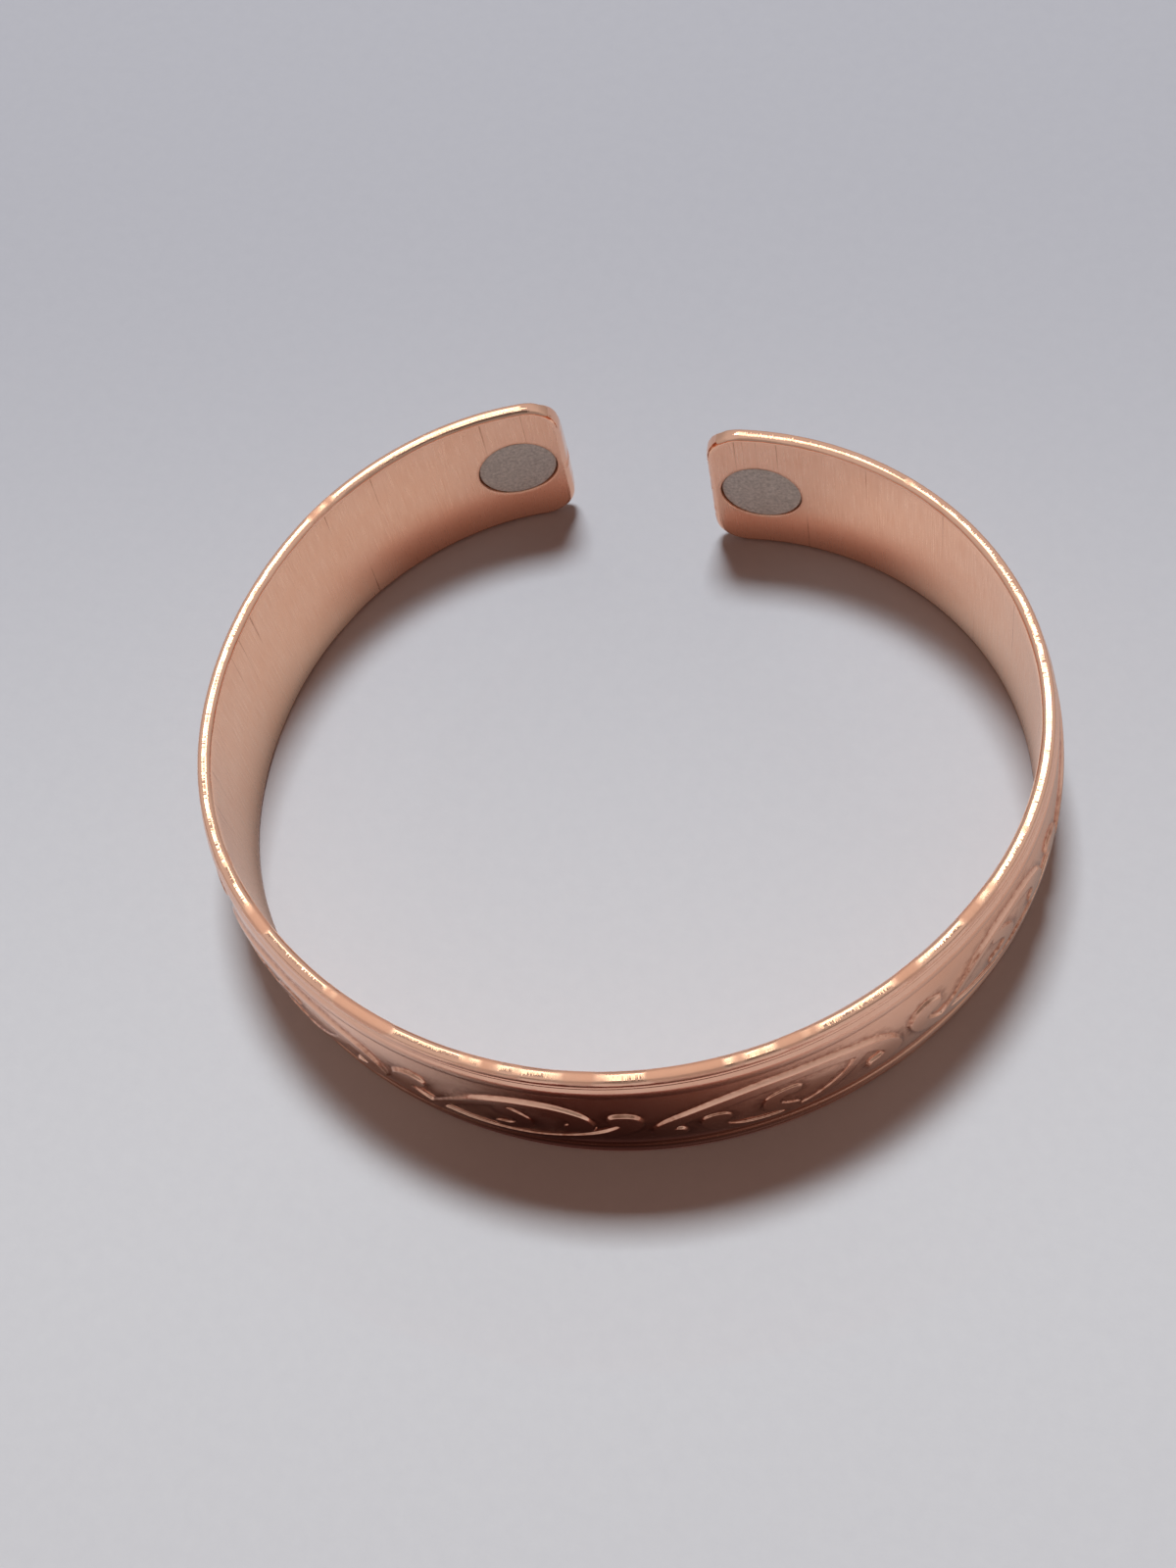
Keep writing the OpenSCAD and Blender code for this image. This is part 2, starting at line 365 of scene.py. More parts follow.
@dataclass
class Scroll:
    """One scroll of the relief, as three strokes.

    Each row is a station on a stroke's middle line, in hundredths: along of the scroll's length, and up,
    half the stroke's width and the run of its outer flank of its height.
    """

    length: float = 17.7
    height: float = 7.1
    rise: float = 0.2
    eye_lift: float = 0.09
    lower: tuple[Station, ...] = (
        (-38.0, 19.0, 10.5, 4.4),
        (-41.0, 19.0, 12.5, 4.4),
        (-44.5, 12.0, 12.5, 4.4),
        (-45.2, 2.0, 10.3, 2.6),
        (-41.8, -14.0, 10.3, 4.5),
        (-35.6, -26.5, 9.2, 6.5),
        (-27.4, -33.0, 8.8, 7.2),
        (-18.5, -38.8, 7.9, 7.4),
        (-4.8, -41.2, 7.4, 7.4),
        (8.9, -39.0, 8.2, 7.2),
        (22.6, -30.0, 8.8, 6.8),
        (34.2, -17.6, 8.5, 6.0),
        (42.0, -4.7, 9.5, 4.5),
        (45.9, 7.4, 10.2, 2.8),
        (45.2, 17.2, 12.0, 4.4),
        (41.6, 19.5, 11.2, 4.4),
    )
    upper: tuple[Station, ...] = (
        (-32.2, -23.0, 6.6, 2.2),
        (-27.1, -5.6, 6.2, 4.5),
        (-20.5, 12.0, 6.3, 6.0),
        (-10.1, 29.6, 6.6, 7.2),
        (2.4, 39.0, 6.8, 7.6),
        (15.8, 37.4, 7.6, 6.6),
        (24.7, 25.0, 9.6, 3.6),
        (27.3, 9.3, 12.2, 2.2),
        (26.4, 2.0, 12.9, 2.2),
        (24.0, 0.0, 11.0, 2.2),
    )
    curl: tuple[Station, ...] = (
        (-2.4, 24.0, 9.6, 2.2),
        (2.4, 14.8, 8.9, 2.2),
        (5.1, 3.7, 9.5, 2.2),
        (4.0, -8.9, 8.9, 2.2),
        (-0.7, -15.8, 7.5, 2.2),
        (-4.5, -15.8, 7.8, 2.2),
    )
    sharp: float = 3.3
    steps_each: int = 6
    fillet: float = 0.5
    levels: tuple[float, ...] = (1.5, 1.0, 0.6, 0.2, -0.2, -0.6, -1.0, -1.6)
    reach: float = 0.45
    cell: float = 0.07
    spacing: float = 0.2
    eye_reach: Plan = (0.37, 0.40)
    eye_soft: float = 0.3

    def stroke_line(self, table: tuple[Station, ...]) -> np.ndarray:
        """Draws a smooth line through a stroke's stations.

        Args:
            table: The stations.

        Returns:
            Rows of x, z, half width and flank run, in millimetres.
        """
        sizes = np.array([self.length, self.height, self.height, self.height]) * HUNDREDTH
        rows = np.array(table) * sizes
        padded = np.vstack([2.0 * rows[0] - rows[1], rows, 2.0 * rows[-1] - rows[-2]])
        line = []
        for a, b, c, d in zip(padded, padded[1:], padded[2:], padded[3:]):
            for k in range(self.steps_each):
                u = k / self.steps_each
                line.append(
                    0.5 * (2.0 * b + (c - a) * u + (2.0 * a - 5.0 * b + 4.0 * c - d) * u**2
                           + (3.0 * b - a - 3.0 * c + d) * u**3)
                )
        line.append(rows[-1])
        return np.array(line)

    def stroke_level(self, points: np.ndarray, table: tuple[Station, ...], outer: float) -> np.ndarray:
        """Measures where points lie on a stroke's flank.

        Args:
            points: Rows of x and z, in millimetres from the scroll's middle.
            table: The stroke's stations.
            outer: 1 where the outer flank lies to the left of the stroke's way, -1 to the right.

        Returns:
            1 at the flank's foot and beyond it more, -1 at its shoulder and less inside the stroke.
        """
        line = self.stroke_line(table)
        nearest = np.full(len(points), np.inf)
        least = self.sharp * self.height * HUNDREDTH
        run = np.full(len(points), least)
        for start, end in zip(line, line[1:]):
            way = end[:2] - start[:2]
            aside = points - start[:2]
            part = np.clip(aside @ way / max(way @ way, TINY), 0.0, 1.0)
            width = start[2] + part * (end[2] - start[2])
            gap = np.linalg.norm(aside - part[:, None] * way, axis=1) - width
            left = (way[0] * aside[:, 1] - way[1] * aside[:, 0]) * outer > 0.0
            flank = np.maximum(np.where(left, start[3] + part * (end[3] - start[3]), least), least)
            closer = gap < nearest
            nearest = np.where(closer, gap, nearest)
            run = np.where(closer, flank, run)
        return nearest / (run / 2.0)

    def level(self, points: np.ndarray) -> np.ndarray:
        """Joins the strokes' levels, with a fillet where two meet.

        Args:
            points: Rows of x and z, in millimetres from the scroll's middle.

        Returns:
            The levels: 1 at the feet and -1 at the shoulders.
        """
        total = self.stroke_level(points, self.lower, -1.0)
        for table in (self.upper, self.curl):
            level = self.stroke_level(points, table, 1.0)
            near = np.maximum(self.fillet - np.abs(total - level), 0.0) / self.fillet
            total = np.minimum(total, level) - near**2 * self.fillet / 4.0
        return total

    def height_at(self, level: np.ndarray) -> np.ndarray:
        """Returns the relief's height above the panel at a level."""
        return self.rise * smoothstep((1.0 - level) / 2.0)

    def in_eye(self, points: np.ndarray) -> np.ndarray:
        """Says how far points lie in the scroll's eye, between its strokes.

        Args:
            points: Rows of x and z, in millimetres from the scroll's middle.

        Returns:
            1 in the eye and 0 round it.
        """
        aside = points[:, 0] / (self.length * self.eye_reach[0])
        up = points[:, 1] / (self.height * self.eye_reach[1])
        return smoothstep((1.0 - np.hypot(aside, up)) / self.eye_soft)

    def contours(self) -> list[np.ndarray]:
        """Traces the outline at each of its levels.

        Returns:
            Closed lines of points, at about the spacing asked for.
        """
        halves = (self.length / 2.0 + self.reach, self.height / 2.0 + self.reach)
        xs, zs = (np.arange(-half, half, self.cell) for half in halves)
        grid = np.array([(x, z) for x in xs for z in zs])
        values = self.level(grid).reshape(len(xs), len(zs))
        lines = []
        for level in self.levels:
            for loop in trace_level(values - level):
                lines.append(resample_loop(loop * self.cell + (xs[0], zs[0]), self.spacing))
        return lines


def trace_level(values: np.ndarray) -> list[np.ndarray]:
    """Follows the zero line of a grid of values by marching squares.

    Args:
        values: Values on a grid, with no zero line across its border.

    Returns:
        Closed lines of points in grid units.
    """
    inside = values < 0.0
    mixed = inside[:-1, :-1].astype(int) + inside[1:, :-1] + inside[:-1, 1:] + inside[1:, 1:]
    links: dict[tuple[int, int, int], list[tuple[int, int, int]]] = {}
    for i, j in np.argwhere((mixed > 0) & (mixed < 4)):
        sides = {
            (i, j, 0): inside[i, j] != inside[i + 1, j],
            (i + 1, j, 1): inside[i + 1, j] != inside[i + 1, j + 1],
            (i, j + 1, 0): inside[i, j + 1] != inside[i + 1, j + 1],
            (i, j, 1): inside[i, j] != inside[i, j + 1],
        }
        crossed = [key for key, cut in sides.items() if cut]
        if len(crossed) == 4 and inside[i, j] != (values[i : i + 2, j : j + 2].mean() < 0.0):
            crossed = crossed[3:] + crossed[:3]
        for a, b in zip(crossed[::2], crossed[1::2]):
            links.setdefault(a, []).append(b)
            links.setdefault(b, []).append(a)

    def place(key: tuple[int, int, int]) -> tuple[float, float]:
        """Works out where the zero line crosses one side of a cell.

        Args:
            key: Row and column of the side's first point, and 1 where the side runs along the columns.

        Returns:
            The crossing, in grid units.
        """
        i, j, upright = key
        a = values[i, j]
        b = values[i, j + 1] if upright else values[i + 1, j]
        part = a / (a - b)
        return (i, j + part) if upright else (i + part, j)

    loops = []
    while links:
        key = next(iter(links))
        walk = [key]
        while True:
            following = [n for n in links.pop(key) if n in links]
            if not following:
                break
            key = following[0]
            walk.append(key)
        loops.append(np.array([place(k) for k in walk]))
    return loops


def resample_loop(points: np.ndarray, spacing: float, fewest: int = 8) -> np.ndarray:
    """Spreads points evenly along a closed line.

    Args:
        points: The line's points in order, the first one not repeated.
        spacing: Distance wanted between the new points.
        fewest: The least number of them.

    Returns:
        The new points.
    """
    closed = np.vstack([points, points[:1]])
    runs = distances(closed)
    count = max(fewest, round(runs[-1] / spacing))
    at = np.arange(count) * runs[-1] / count
    return np.column_stack([np.interp(at, runs, closed[:, 0]), np.interp(at, runs, closed[:, 1])])


@dataclass
class FlatMesh:
    """Collects points and faces of the flat strip, each point with the marks of its zones."""

    points: list[Triple] = field(default_factory=list)
    faces: list[tuple[int, ...]] = field(default_factory=list)
    marks: dict[Zone, list[float]] = field(default_factory=lambda: {zone: [] for zone in Zone})

    def add_points(self, xwd: np.ndarray, **marks: np.ndarray | float) -> int:
        """Adds points given as x, w and height.

        Args:
            xwd: Rows of the length along the strip, the height across it and the height of the face.
            marks: Marks of the zones by the enum's names in lower case; a zone left out is 0.

        Returns:
            The index of the first new point.
        """
        first = len(self.points)
        self.points.extend((x, -d, w) for x, w, d in xwd)
        for zone in Zone:
            values = marks.get(zone.name.lower(), 0.0)
            self.marks[zone].extend(np.broadcast_to(values, len(xwd)).tolist())
        return first

    def add_grid(self, rows: list[np.ndarray], marks: list[Marks]) -> None:
        """Joins rows of points with four-sided faces.

        Args:
            rows: The rows, all of one length.
            marks: The marks of each row.
        """
        starts = [self.add_points(row, **mark) for row, mark in zip(rows, marks)]
        for a, b in zip(starts, starts[1:]):
            for k in range(len(rows[0]) - 1):
                self.faces.append((a + k, b + k, b + k + 1, a + k + 1))

    def add_patch(
        self,
        edge: np.ndarray,
        lines: list[np.ndarray],
        loose: np.ndarray,
        face: Callable[[np.ndarray], tuple[np.ndarray, Marks]],
        keep: Callable[[np.ndarray], np.ndarray] | None = None,
    ) -> None:
        """Fills a convex outline with triangles that follow lines drawn inside it.

        Args:
            edge: The outline's points in order.
            lines: Lines inside it; each is closed where its first point is repeated at its end.
            loose: Further points, for an even net between the lines.
            face: Function of rows of x and w that gives the heights and the marks there.
            keep: Function of the triangles' middles that says which ones stay, or None for all.
        """
        places = [tuple(p) for p in edge]
        edges = [(k, (k + 1) % len(edge)) for k in range(len(edge))]
        for line in lines:
            first = len(places)
            closed = bool(np.allclose(line[0], line[-1]))
            body = line[:-1] if closed else line
            places.extend(tuple(p) for p in body)
            edges.extend((first + k, first + k + 1) for k in range(len(body) - 1))
            if closed:
                edges.append((first + len(body) - 1, first))
        places.extend(tuple(p) for p in loose)
        found = delaunay_2d_cdt([Vector(p) for p in places], edges, [], 0, SAME_PLACE)
        net = np.array([tuple(v) for v in found[0]])
        triangles = np.array([tuple(f) for f in found[2]])
        if keep is not None:
            triangles = triangles[keep(net[triangles].mean(axis=1))]
        heights, marks = face(net)
        first = self.add_points(np.column_stack([net, heights]), **marks)
        self.faces.extend(tuple(int(first + k) for k in t) for t in triangles)

    def turned(self, shift: float) -> "FlatMesh":
        """Returns the mesh turned half round about its outward axis and moved along the strip."""
        points = [(shift - x, y, -z) for x, y, z in self.points]
        return FlatMesh(points, list(self.faces), {zone: list(v) for zone, v in self.marks.items()})

    def to_object(self, name: str) -> bpy.types.Object:
        """Makes a Blender object of the mesh, in metres, with one attribute for each zone.

        Args:
            name: Name of the object.

        Returns:
            The object.
        """
        mesh = bpy.data.meshes.new(name)
        mesh.from_pydata([tuple(c * MM for c in p) for p in self.points], [], self.faces)
        for zone, values in self.marks.items():
            mesh.attributes.new(zone.value, "FLOAT", "POINT").data.foreach_set("value", values)
        mesh.update()
        return linked(name, mesh)


def along(xs: np.ndarray, *rest: float) -> np.ndarray:
    """Returns points at places along the strip, all with the same further coordinates."""
    return np.column_stack([xs, *(np.full(len(xs), value) for value in rest)])


def across(x: float, ws: np.ndarray) -> np.ndarray:
    """Returns points at heights across the strip, all at one place along it."""
    return np.column_stack([np.full(len(ws), x), ws])


def clear_points(points: np.ndarray, lines: list[np.ndarray], gap: float) -> np.ndarray:
    """Returns those points that lie at least a gap away from every point of the lines."""
    spans = np.linalg.norm(points[:, None, :] - np.vstack(lines)[None, :, :], axis=2).min(axis=1)
    return points[spans > gap]


@dataclass
class FlatStrip:
    """Draws the flat slices of the strip: one with a scroll, and the two plain ends with their seats.

    Patina and painted shade darken the feet of the scrolls, and painted shade dims the flanks in the eye and at
    the scroll's tips. Its mark starts at a level of the flank, higher up in the eye and at the scroll's tips,
    and fades over the panel beyond the flank.
    """

    section: Section = field(default_factory=Section)
    scroll: Scroll = field(default_factory=Scroll)
    pitch: float = 18.2
    along_step: float = 0.5
    net_step: float = 0.55
    net_gap: float = 0.24
    foot_from: float = -0.2
    foot_run: float = 1.2
    foot_reach: float = 2.0
    shade_from: float = -1.6
    shade_eye: float = 1.7
    shade_tip: float = 0.8
    tip_from: float = 0.36
    tip_run: float = 0.05
    joint_fade: float = 0.1
    rim_fade: float = 0.4
    seat_r: float = 3.05
    seat_depth: float = 0.65
    seat_lip: float = 0.08
    lip_steps: int = 4
    lip_guard: float = 0.32
    lip_clear: float = 0.48
    seat_shadow_offset: float = 0.4
    seat_points: int = 64
    corner_steps: int = 18

    def stations(self, start: float, end: float) -> np.ndarray:
        """Returns even places along the strip between two lengths."""
        return np.linspace(start, end, max(2, round(abs(end - start) / self.along_step) + 1))

    def net(self, low: Plan, high: Plan) -> np.ndarray:
        """Lays a loose net of points between two corners, with every other row set over.

        Args:
            low: The lower left corner.
            high: The upper right corner.

        Returns:
            The net's points.
        """
        step = self.net_step
        rows = []
        for k, w in enumerate(np.arange(low[1] + step, high[1] - step / 2, step)):
            over = step / 2.0 * (k % 2)
            rows += [(x, w) for x in np.arange(low[0] + step + over, high[0] - step / 2, step)]
        return np.array(rows)

    def scroll_slice(self) -> FlatMesh:
        """Draws one slice of the strip, a pitch long, with a scroll in the middle of its panel.

        Returns:
            The slice.
        """
        flat = FlatMesh()
        xs = self.stations(-self.pitch / 2.0, self.pitch / 2.0)
        loop = self.section.loop()
        flat.add_grid([along(xs, w, d) for w, d in loop], [self.section.marks(w, d) for w, d in loop])
        ws = self.section.patch_stations()
        edge = np.vstack([
            along(xs[:-1], ws[0]),
            across(xs[-1], ws[:-1]),
            along(xs[:0:-1], ws[-1]),
            across(xs[0], ws[:0:-1]),
        ])
        limit = self.pitch / 2.0 - self.scroll.spacing / 2.0
        lines = [part for contour in self.scroll.contours() for part in split_inside(contour, limit)]
        net = clear_points(self.net((xs[0], ws[0]), (xs[-1], ws[-1])), [*lines, edge], self.net_gap)
        flat.add_patch(edge, lines, net, self.relief_face)
        return flat

    def relief_face(self, places: np.ndarray) -> tuple[np.ndarray, Marks]:
        """Works out the panel round a scroll.

        Args:
            places: Rows of x and w.

        Returns:
            The heights and the marks there.
        """
        level = self.scroll.level(places)
        joint = smoothstep((self.pitch / 2.0 - np.abs(places[:, 0])) / self.joint_fade)
        eye = self.scroll.in_eye(places)
        relief = self.scroll.height_at(level)
        lifted = relief + np.maximum(self.scroll.eye_lift - relief, 0.0) * eye
        heights = self.section.top(places[:, 1]) + lifted * joint
        tip = smoothstep((np.abs(places[:, 0]) / self.scroll.length - self.tip_from) / self.tip_run)
        # Painted shade: the foot mark also dims the flanks in the scroll's eye and at its tips.
        dulled = np.clip(np.maximum(self.shade_eye * eye, self.shade_tip * tip), 0.0, 1.0)
        dulled = dulled * smoothstep((level - self.shade_from) / self.foot_run)
        foot = np.maximum(smoothstep((level - self.foot_from) / self.foot_run), dulled)
        foot = foot * (1.0 - smoothstep((level - 1.0) / self.foot_reach))
        return heights, {"foot": foot, "recess": eye * smoothstep(level)}

    def end_path(self, length: float) -> tuple[np.ndarray, np.ndarray]:
        """Walks the outline of an end from its joint at the top, round the free end, to its joint below.

        Args:
            length: Length of the end's slice, from the free end to its joint.

        Returns:
            The outline's points and, for each, the unit vector into the strip.
        """
        half, r = self.section.half, self.section.corner_r
        points = [(x, half) for x in self.stations(length, r)[:-1]]
        inwards = [(0.0, -1.0)] * len(points)
        for k in range(self.corner_steps + 1):
            a = math.pi / 2.0 * (1.0 + k / self.corner_steps)
            points.append((r + r * math.cos(a), half - r + r * math.sin(a)))
            inwards.append((-math.cos(a), -math.sin(a)))
        down = self.stations(half - r, r - half)[1:-1]
        points += [(0.0, w) for w in down] + [(x, -w) for x, w in reversed(points)]
        inwards += [(1.0, 0.0)] * len(down) + [(x, -w) for x, w in reversed(inwards)]
        return np.array(points), np.array(inwards)

    def end_slice(self, length: float, magnet_at: float, inner_radius: float, up: End) -> FlatMesh:
        """Draws a plain end, with its free end at 0 and its joint at the given length.

        Args:
            length: Length of the slice along the outer face.
            magnet_at: Distance of the seat's middle from the free end, along the inner face.
            inner_radius: Radius of the inner face there.
            up: The end that is drawn: the right one is turned half round later.

        Returns:
            The flat mesh, with rounded corners and rims and with the magnet's seat.
        """
        section = self.section
        flat = FlatMesh()
        rows, marks = [], []
        for p, n in zip(*self.end_path(length)):
            profile = section.rim_profile(float(section.top((p + section.outer_round * n)[1])))
            rows.append(np.array([(*(p + e * n), d) for e, d in profile]))
            inside, heights = np.array(profile).T
            rim = 1.0 - smoothstep(inside / self.rim_fade)
            marks.append({"rim": rim, "inner": (heights < TINY).astype(float)})
        flat.add_grid(rows, marks)
        joint = [w for w in section.step_lines() if w < section.half - section.outer_round - TINY]
        joint_ws = np.array([*(-w for w in reversed(joint)), *section.patch_stations(), *joint])
        edge = np.vstack([[row[0, :2] for row in rows], across(length, joint_ws)])
        lines = [self.step_line(w, length) for w in (*joint, *(-w for w in joint))]
        net = self.net((0.0, -section.half), (length, section.half))
        net = net[self.inside_end(net, section.outer_round + self.net_gap)]
        flat.add_patch(edge, lines, clear_points(net, [*lines, edge], self.net_gap), self.plain_face)
        inner_edge = np.array([row[-1, :2] for row in rows])
        self.add_inner_face(flat, inner_edge, length, magnet_at, inner_radius, up)
        return flat

    def plain_face(self, places: np.ndarray) -> tuple[np.ndarray, Marks]:
        """Returns the heights and the marks of the outer face where it has no relief."""
        return self.section.top(places[:, 1]), {"foot": self.section.foot_patina_and_shade(places[:, 1])}

    def step_line(self, w: float, length: float) -> np.ndarray:
        """Draws one line of a border's step.

        Args:
            w: Its height above the strip's middle.
            length: Length of the end's slice.

        Returns:
            The line's points, from its joint to just short of the rim.
        """
        section = self.section
        r = section.corner_r - section.outer_round
        up = abs(w) - (section.half - section.corner_r)
        free_end = section.corner_r - math.sqrt(max(r * r - up * up, 0.0))
        return along(self.stations(length, free_end + self.scroll.spacing), w)[1:]

    def inside_end(self, places: np.ndarray, margin: float) -> np.ndarray:
        """Says which places lie inside the end's outline.

        Args:
            places: Rows of x and w.
            margin: The distance from the outline that they keep.

        Returns:
            True for each place inside.
        """
        half, r = self.section.half, self.section.corner_r
        x, up = places[:, 0], np.abs(places[:, 1])
        rounded = r - np.hypot(np.maximum(r - x, 0.0), np.maximum(up - (half - r), 0.0))
        return (rounded > margin) & (x > margin) & (up < half - margin)

    def add_inner_face(
        self, flat: FlatMesh, edge: np.ndarray, length: float, magnet_at: float, inner_radius: float, up: End
    ) -> None:
        """Fills an end's inner face and sinks the magnet's seat into it.

        Args:
            flat: The mesh of the end.
            edge: The inner face's outline, from joint to joint.
            length: Length of the slice along the outer face.
            magnet_at: Distance of the seat's middle from the free end, along the inner face.
            inner_radius: Radius of the inner face there.
            up: The end that is drawn, which says which half of the seat's wall takes the painted shadow.
        """
        stretch = (inner_radius + self.section.lay_t) / inner_radius
        middle = np.array([magnet_at * stretch, 0.0])
        around = np.linspace(0.0, 2.0 * math.pi, self.seat_points, endpoint=False)
        circle = np.column_stack([np.cos(around) * stretch, np.sin(around)])

        def ring(radius: float) -> np.ndarray:
            """Returns a circle of the inner face about the seat's middle, drawn on the flat strip."""
            return middle + radius * circle

        def away(places: np.ndarray) -> np.ndarray:
            """Returns the places' distances from the seat's middle on the bent strip."""
            return np.linalg.norm((places - middle) / np.array([stretch, 1.0]), axis=1)

        lip = self.seat_r + self.seat_lip
        edge = np.vstack([edge, across(length, self.section.inner_stations()[::-1][1:-1])])
        lines = [np.vstack([r, r[:1]]) for r in (ring(lip), ring(self.seat_r + self.lip_guard))]
        net = self.net((0.0, -self.section.half), (length, self.section.half))
        net = net[self.inside_end(net, self.section.inner_round + self.net_gap)]
        net = clear_points(net[away(net) > self.seat_r + self.lip_clear], [edge], self.net_gap)
        flat.add_patch(
            edge, lines, net, lambda p: (np.zeros(len(p)), {"inner": 1.0}), lambda p: away(p) > lip
        )
        rows = []
        for a in np.linspace(0.0, math.pi / 2.0, self.lip_steps + 1):
            depth = np.full(self.seat_points, self.seat_lip * (1.0 - math.cos(a)))
            rows.append((ring(self.seat_r + self.seat_lip * (1.0 - math.sin(a))), depth))
        for part in (1.0, 0.5, 0.0):
            places = ring(self.seat_r * part)
            bent = (places[:, 0] - middle[0]) / stretch
            depth = (inner_radius + self.seat_depth) / np.cos(bent / inner_radius) - inner_radius
            rows.append((places, depth))
        closed = [np.column_stack([np.vstack([p, p[:1]]), np.append(d, d[0])]) for p, d in rows]
        # Painted shadow: the foot mark darkens the half of the seat's wall that lies under the lip.
        dark = smoothstep(self.seat_shadow_offset + up.value * np.append(np.sin(around), 0.0))
        flat.add_grid(closed, [{"inner": 1.0, "foot": dark}] * len(closed))


def split_inside(loop: np.ndarray, limit: float) -> list[np.ndarray]:
    """Cuts a closed line where it leaves the slice.

    Args:
        loop: Points of the closed line.
        limit: Largest distance from the slice's middle, along the strip, that a point may have.

    Returns:
        The closed line with its first point repeated, or its parts inside the limit.
    """
    inside = np.abs(loop[:, 0]) < limit
    if inside.all():
        return [np.vstack([loop, loop[:1]])]
    start = int(np.argmin(inside))
    loop, inside = np.roll(loop, -start, axis=0), np.roll(inside, -start)
    cuts = np.flatnonzero(np.diff(inside)) + 1
    parts = zip(np.split(loop, cuts), np.split(inside, cuts))
    return [part for part, stays in parts if stays[0] and len(part) > 1]


class NodeBuilder:
    """Adds and links nodes of one tree with short calls."""

    def __init__(self, tree: bpy.types.NodeTree) -> None:
        """Keeps the tree that the nodes go into."""
        self.tree = tree

    def add(
        self, kind: str, inputs: dict[str | int, Feed] | None = None, **settings: object
    ) -> bpy.types.Node:
        """Adds a node.

        Args:
            kind: The node's type name.
            inputs: Values or sockets by the input's name or number.
            settings: Properties of the node.

        Returns:
            The new node.
        """
        node = self.tree.nodes.new(kind)
        for name, value in settings.items():
            setattr(node, name, value)
        for key, value in (inputs or {}).items():
            self.feed(node.inputs[key], value)
        return node

    def feed(self, socket: Socket, value: Feed) -> None:
        """Links a socket to an input, or sets the input's own value.

        Args:
            socket: The input.
            value: The socket or the value that it takes.
        """
        if isinstance(value, Socket):
            self.tree.links.new(value, socket)
        else:
            socket.default_value = value

    def math(self, operation: str, *values: Feed) -> Socket:
        """Adds a Math node and returns its result."""
        return self.add("ShaderNodeMath", dict(enumerate(values)), operation=operation).outputs[0]

    def product(self, first: Feed, *others: Feed) -> Socket:
        """Multiplies a number by others, one after the other."""
        return reduce(partial(self.math, "MULTIPLY"), others, first)

    def vector(self, operation: str, *values: Feed) -> Socket:
        """Adds a Vector Math node and returns its vector."""
        node = self.add("ShaderNodeVectorMath", dict(enumerate(values)), operation=operation)
        return node.outputs["Vector"]

    def combined(self, **axes: Feed) -> Socket:
        """Makes a vector of X, Y and Z, each 0 where it isn't given."""
        return self.add("ShaderNodeCombineXYZ", axes).outputs[0]

    def split(self, vector: Feed) -> bpy.types.NodeOutputs:
        """Returns a vector's X, Y and Z."""
        return self.add("ShaderNodeSeparateXYZ", {0: vector}).outputs

    def mapped(self, value: Feed, span: Plan, to: Plan = (0.0, 1.0), **settings: object) -> Socket:
        """Maps a value from one span onto another, and holds it at the ends."""
        ends = {"From Min": span[0], "From Max": span[1], "To Min": to[0], "To Max": to[1]}
        return self.add("ShaderNodeMapRange", {"Value": value, **ends}, **settings).outputs[0]

    def towards(self, where: Feed, way: Triple, span: Plan) -> Socket:
        """Returns the soft step from 0 to 1 over a span of the length of `where` along a unit vector."""
        along = self.add("ShaderNodeVectorMath", {0: where, 1: way}, operation="DOT_PRODUCT")
        return self.mapped(along.outputs["Value"], span, interpolation_type="SMOOTHSTEP")

    def mix(self, factor: Feed, a: Feed, b: Feed, kind: str = "RGBA", blend: str = "MIX") -> Socket:
        """Adds a Mix node.

        Args:
            factor: 0 for the first value and 1 for the second.
            a: The first value.
            b: The second value.
            kind: Type of the values.
            blend: How colours are mixed.

        Returns:
            The mixed value.
        """
        node = self.add("ShaderNodeMix", data_type=kind, blend_type=blend)
        for socket, value in zip([s for s in node.inputs if s.enabled], (factor, a, b)):
            self.feed(socket, value)
        return node.outputs["Result"]

    def bump(self, height: Feed, strength: float, distance: float, **below: Socket) -> Socket:
        """Adds bumps to the surface's own normal, or to the one given as Normal."""
        inputs = {"Strength": strength, "Distance": distance, "Height": height, **below}
        return self.add("ShaderNodeBump", inputs).outputs[0]

    def output(self, shader: bpy.types.Node, kind: str = "Material") -> None:
        """Links a shader to the tree's output."""
        self.add(f"ShaderNodeOutput{kind}", {"Surface": shader.outputs[0]})

    def principled(self, colour: Feed, rough: Feed, normal: Socket, metallic: float = 0.0) -> None:
        """Gives the material its main shader."""
        inputs = {"Base Color": colour, "Roughness": rough, "Normal": normal, "Metallic": metallic}
        self.output(self.add("ShaderNodeBsdfPrincipled", inputs))


def new_group(
    name: str, kind: str, inputs: dict[str, str], outputs: dict[str, str]
) -> tuple[NodeBuilder, Sockets]:
    """Makes a node group with named inputs and outputs.

    Args:
        name: The group's name.
        kind: Type name of its tree.
        inputs: What the inputs carry, by their names.
        outputs: What the outputs carry, by their names.

    Returns:
        The builder of its nodes and, by name, the sockets that give the inputs' values.
    """
    tree = bpy.data.node_groups.new(name, kind)
    for way, sockets in (("INPUT", inputs), ("OUTPUT", outputs)):
        for label, carried in sockets.items():
            tree.interface.new_socket(label, in_out=way, socket_type=f"NodeSocket{carried}")
    nodes = NodeBuilder(tree)
    return nodes, {socket.name: socket for socket in nodes.add("NodeGroupInput").outputs}


def new_material(name: str) -> tuple[bpy.types.Material, NodeBuilder]:
    """Makes a material with no nodes.

    Args:
        name: The material's name.

    Returns:
        The material and the builder of its nodes.
    """
    material = bpy.data.materials.new(name)
    material.use_nodes = True
    material.node_tree.nodes.clear()
    return material, NodeBuilder(material.node_tree)


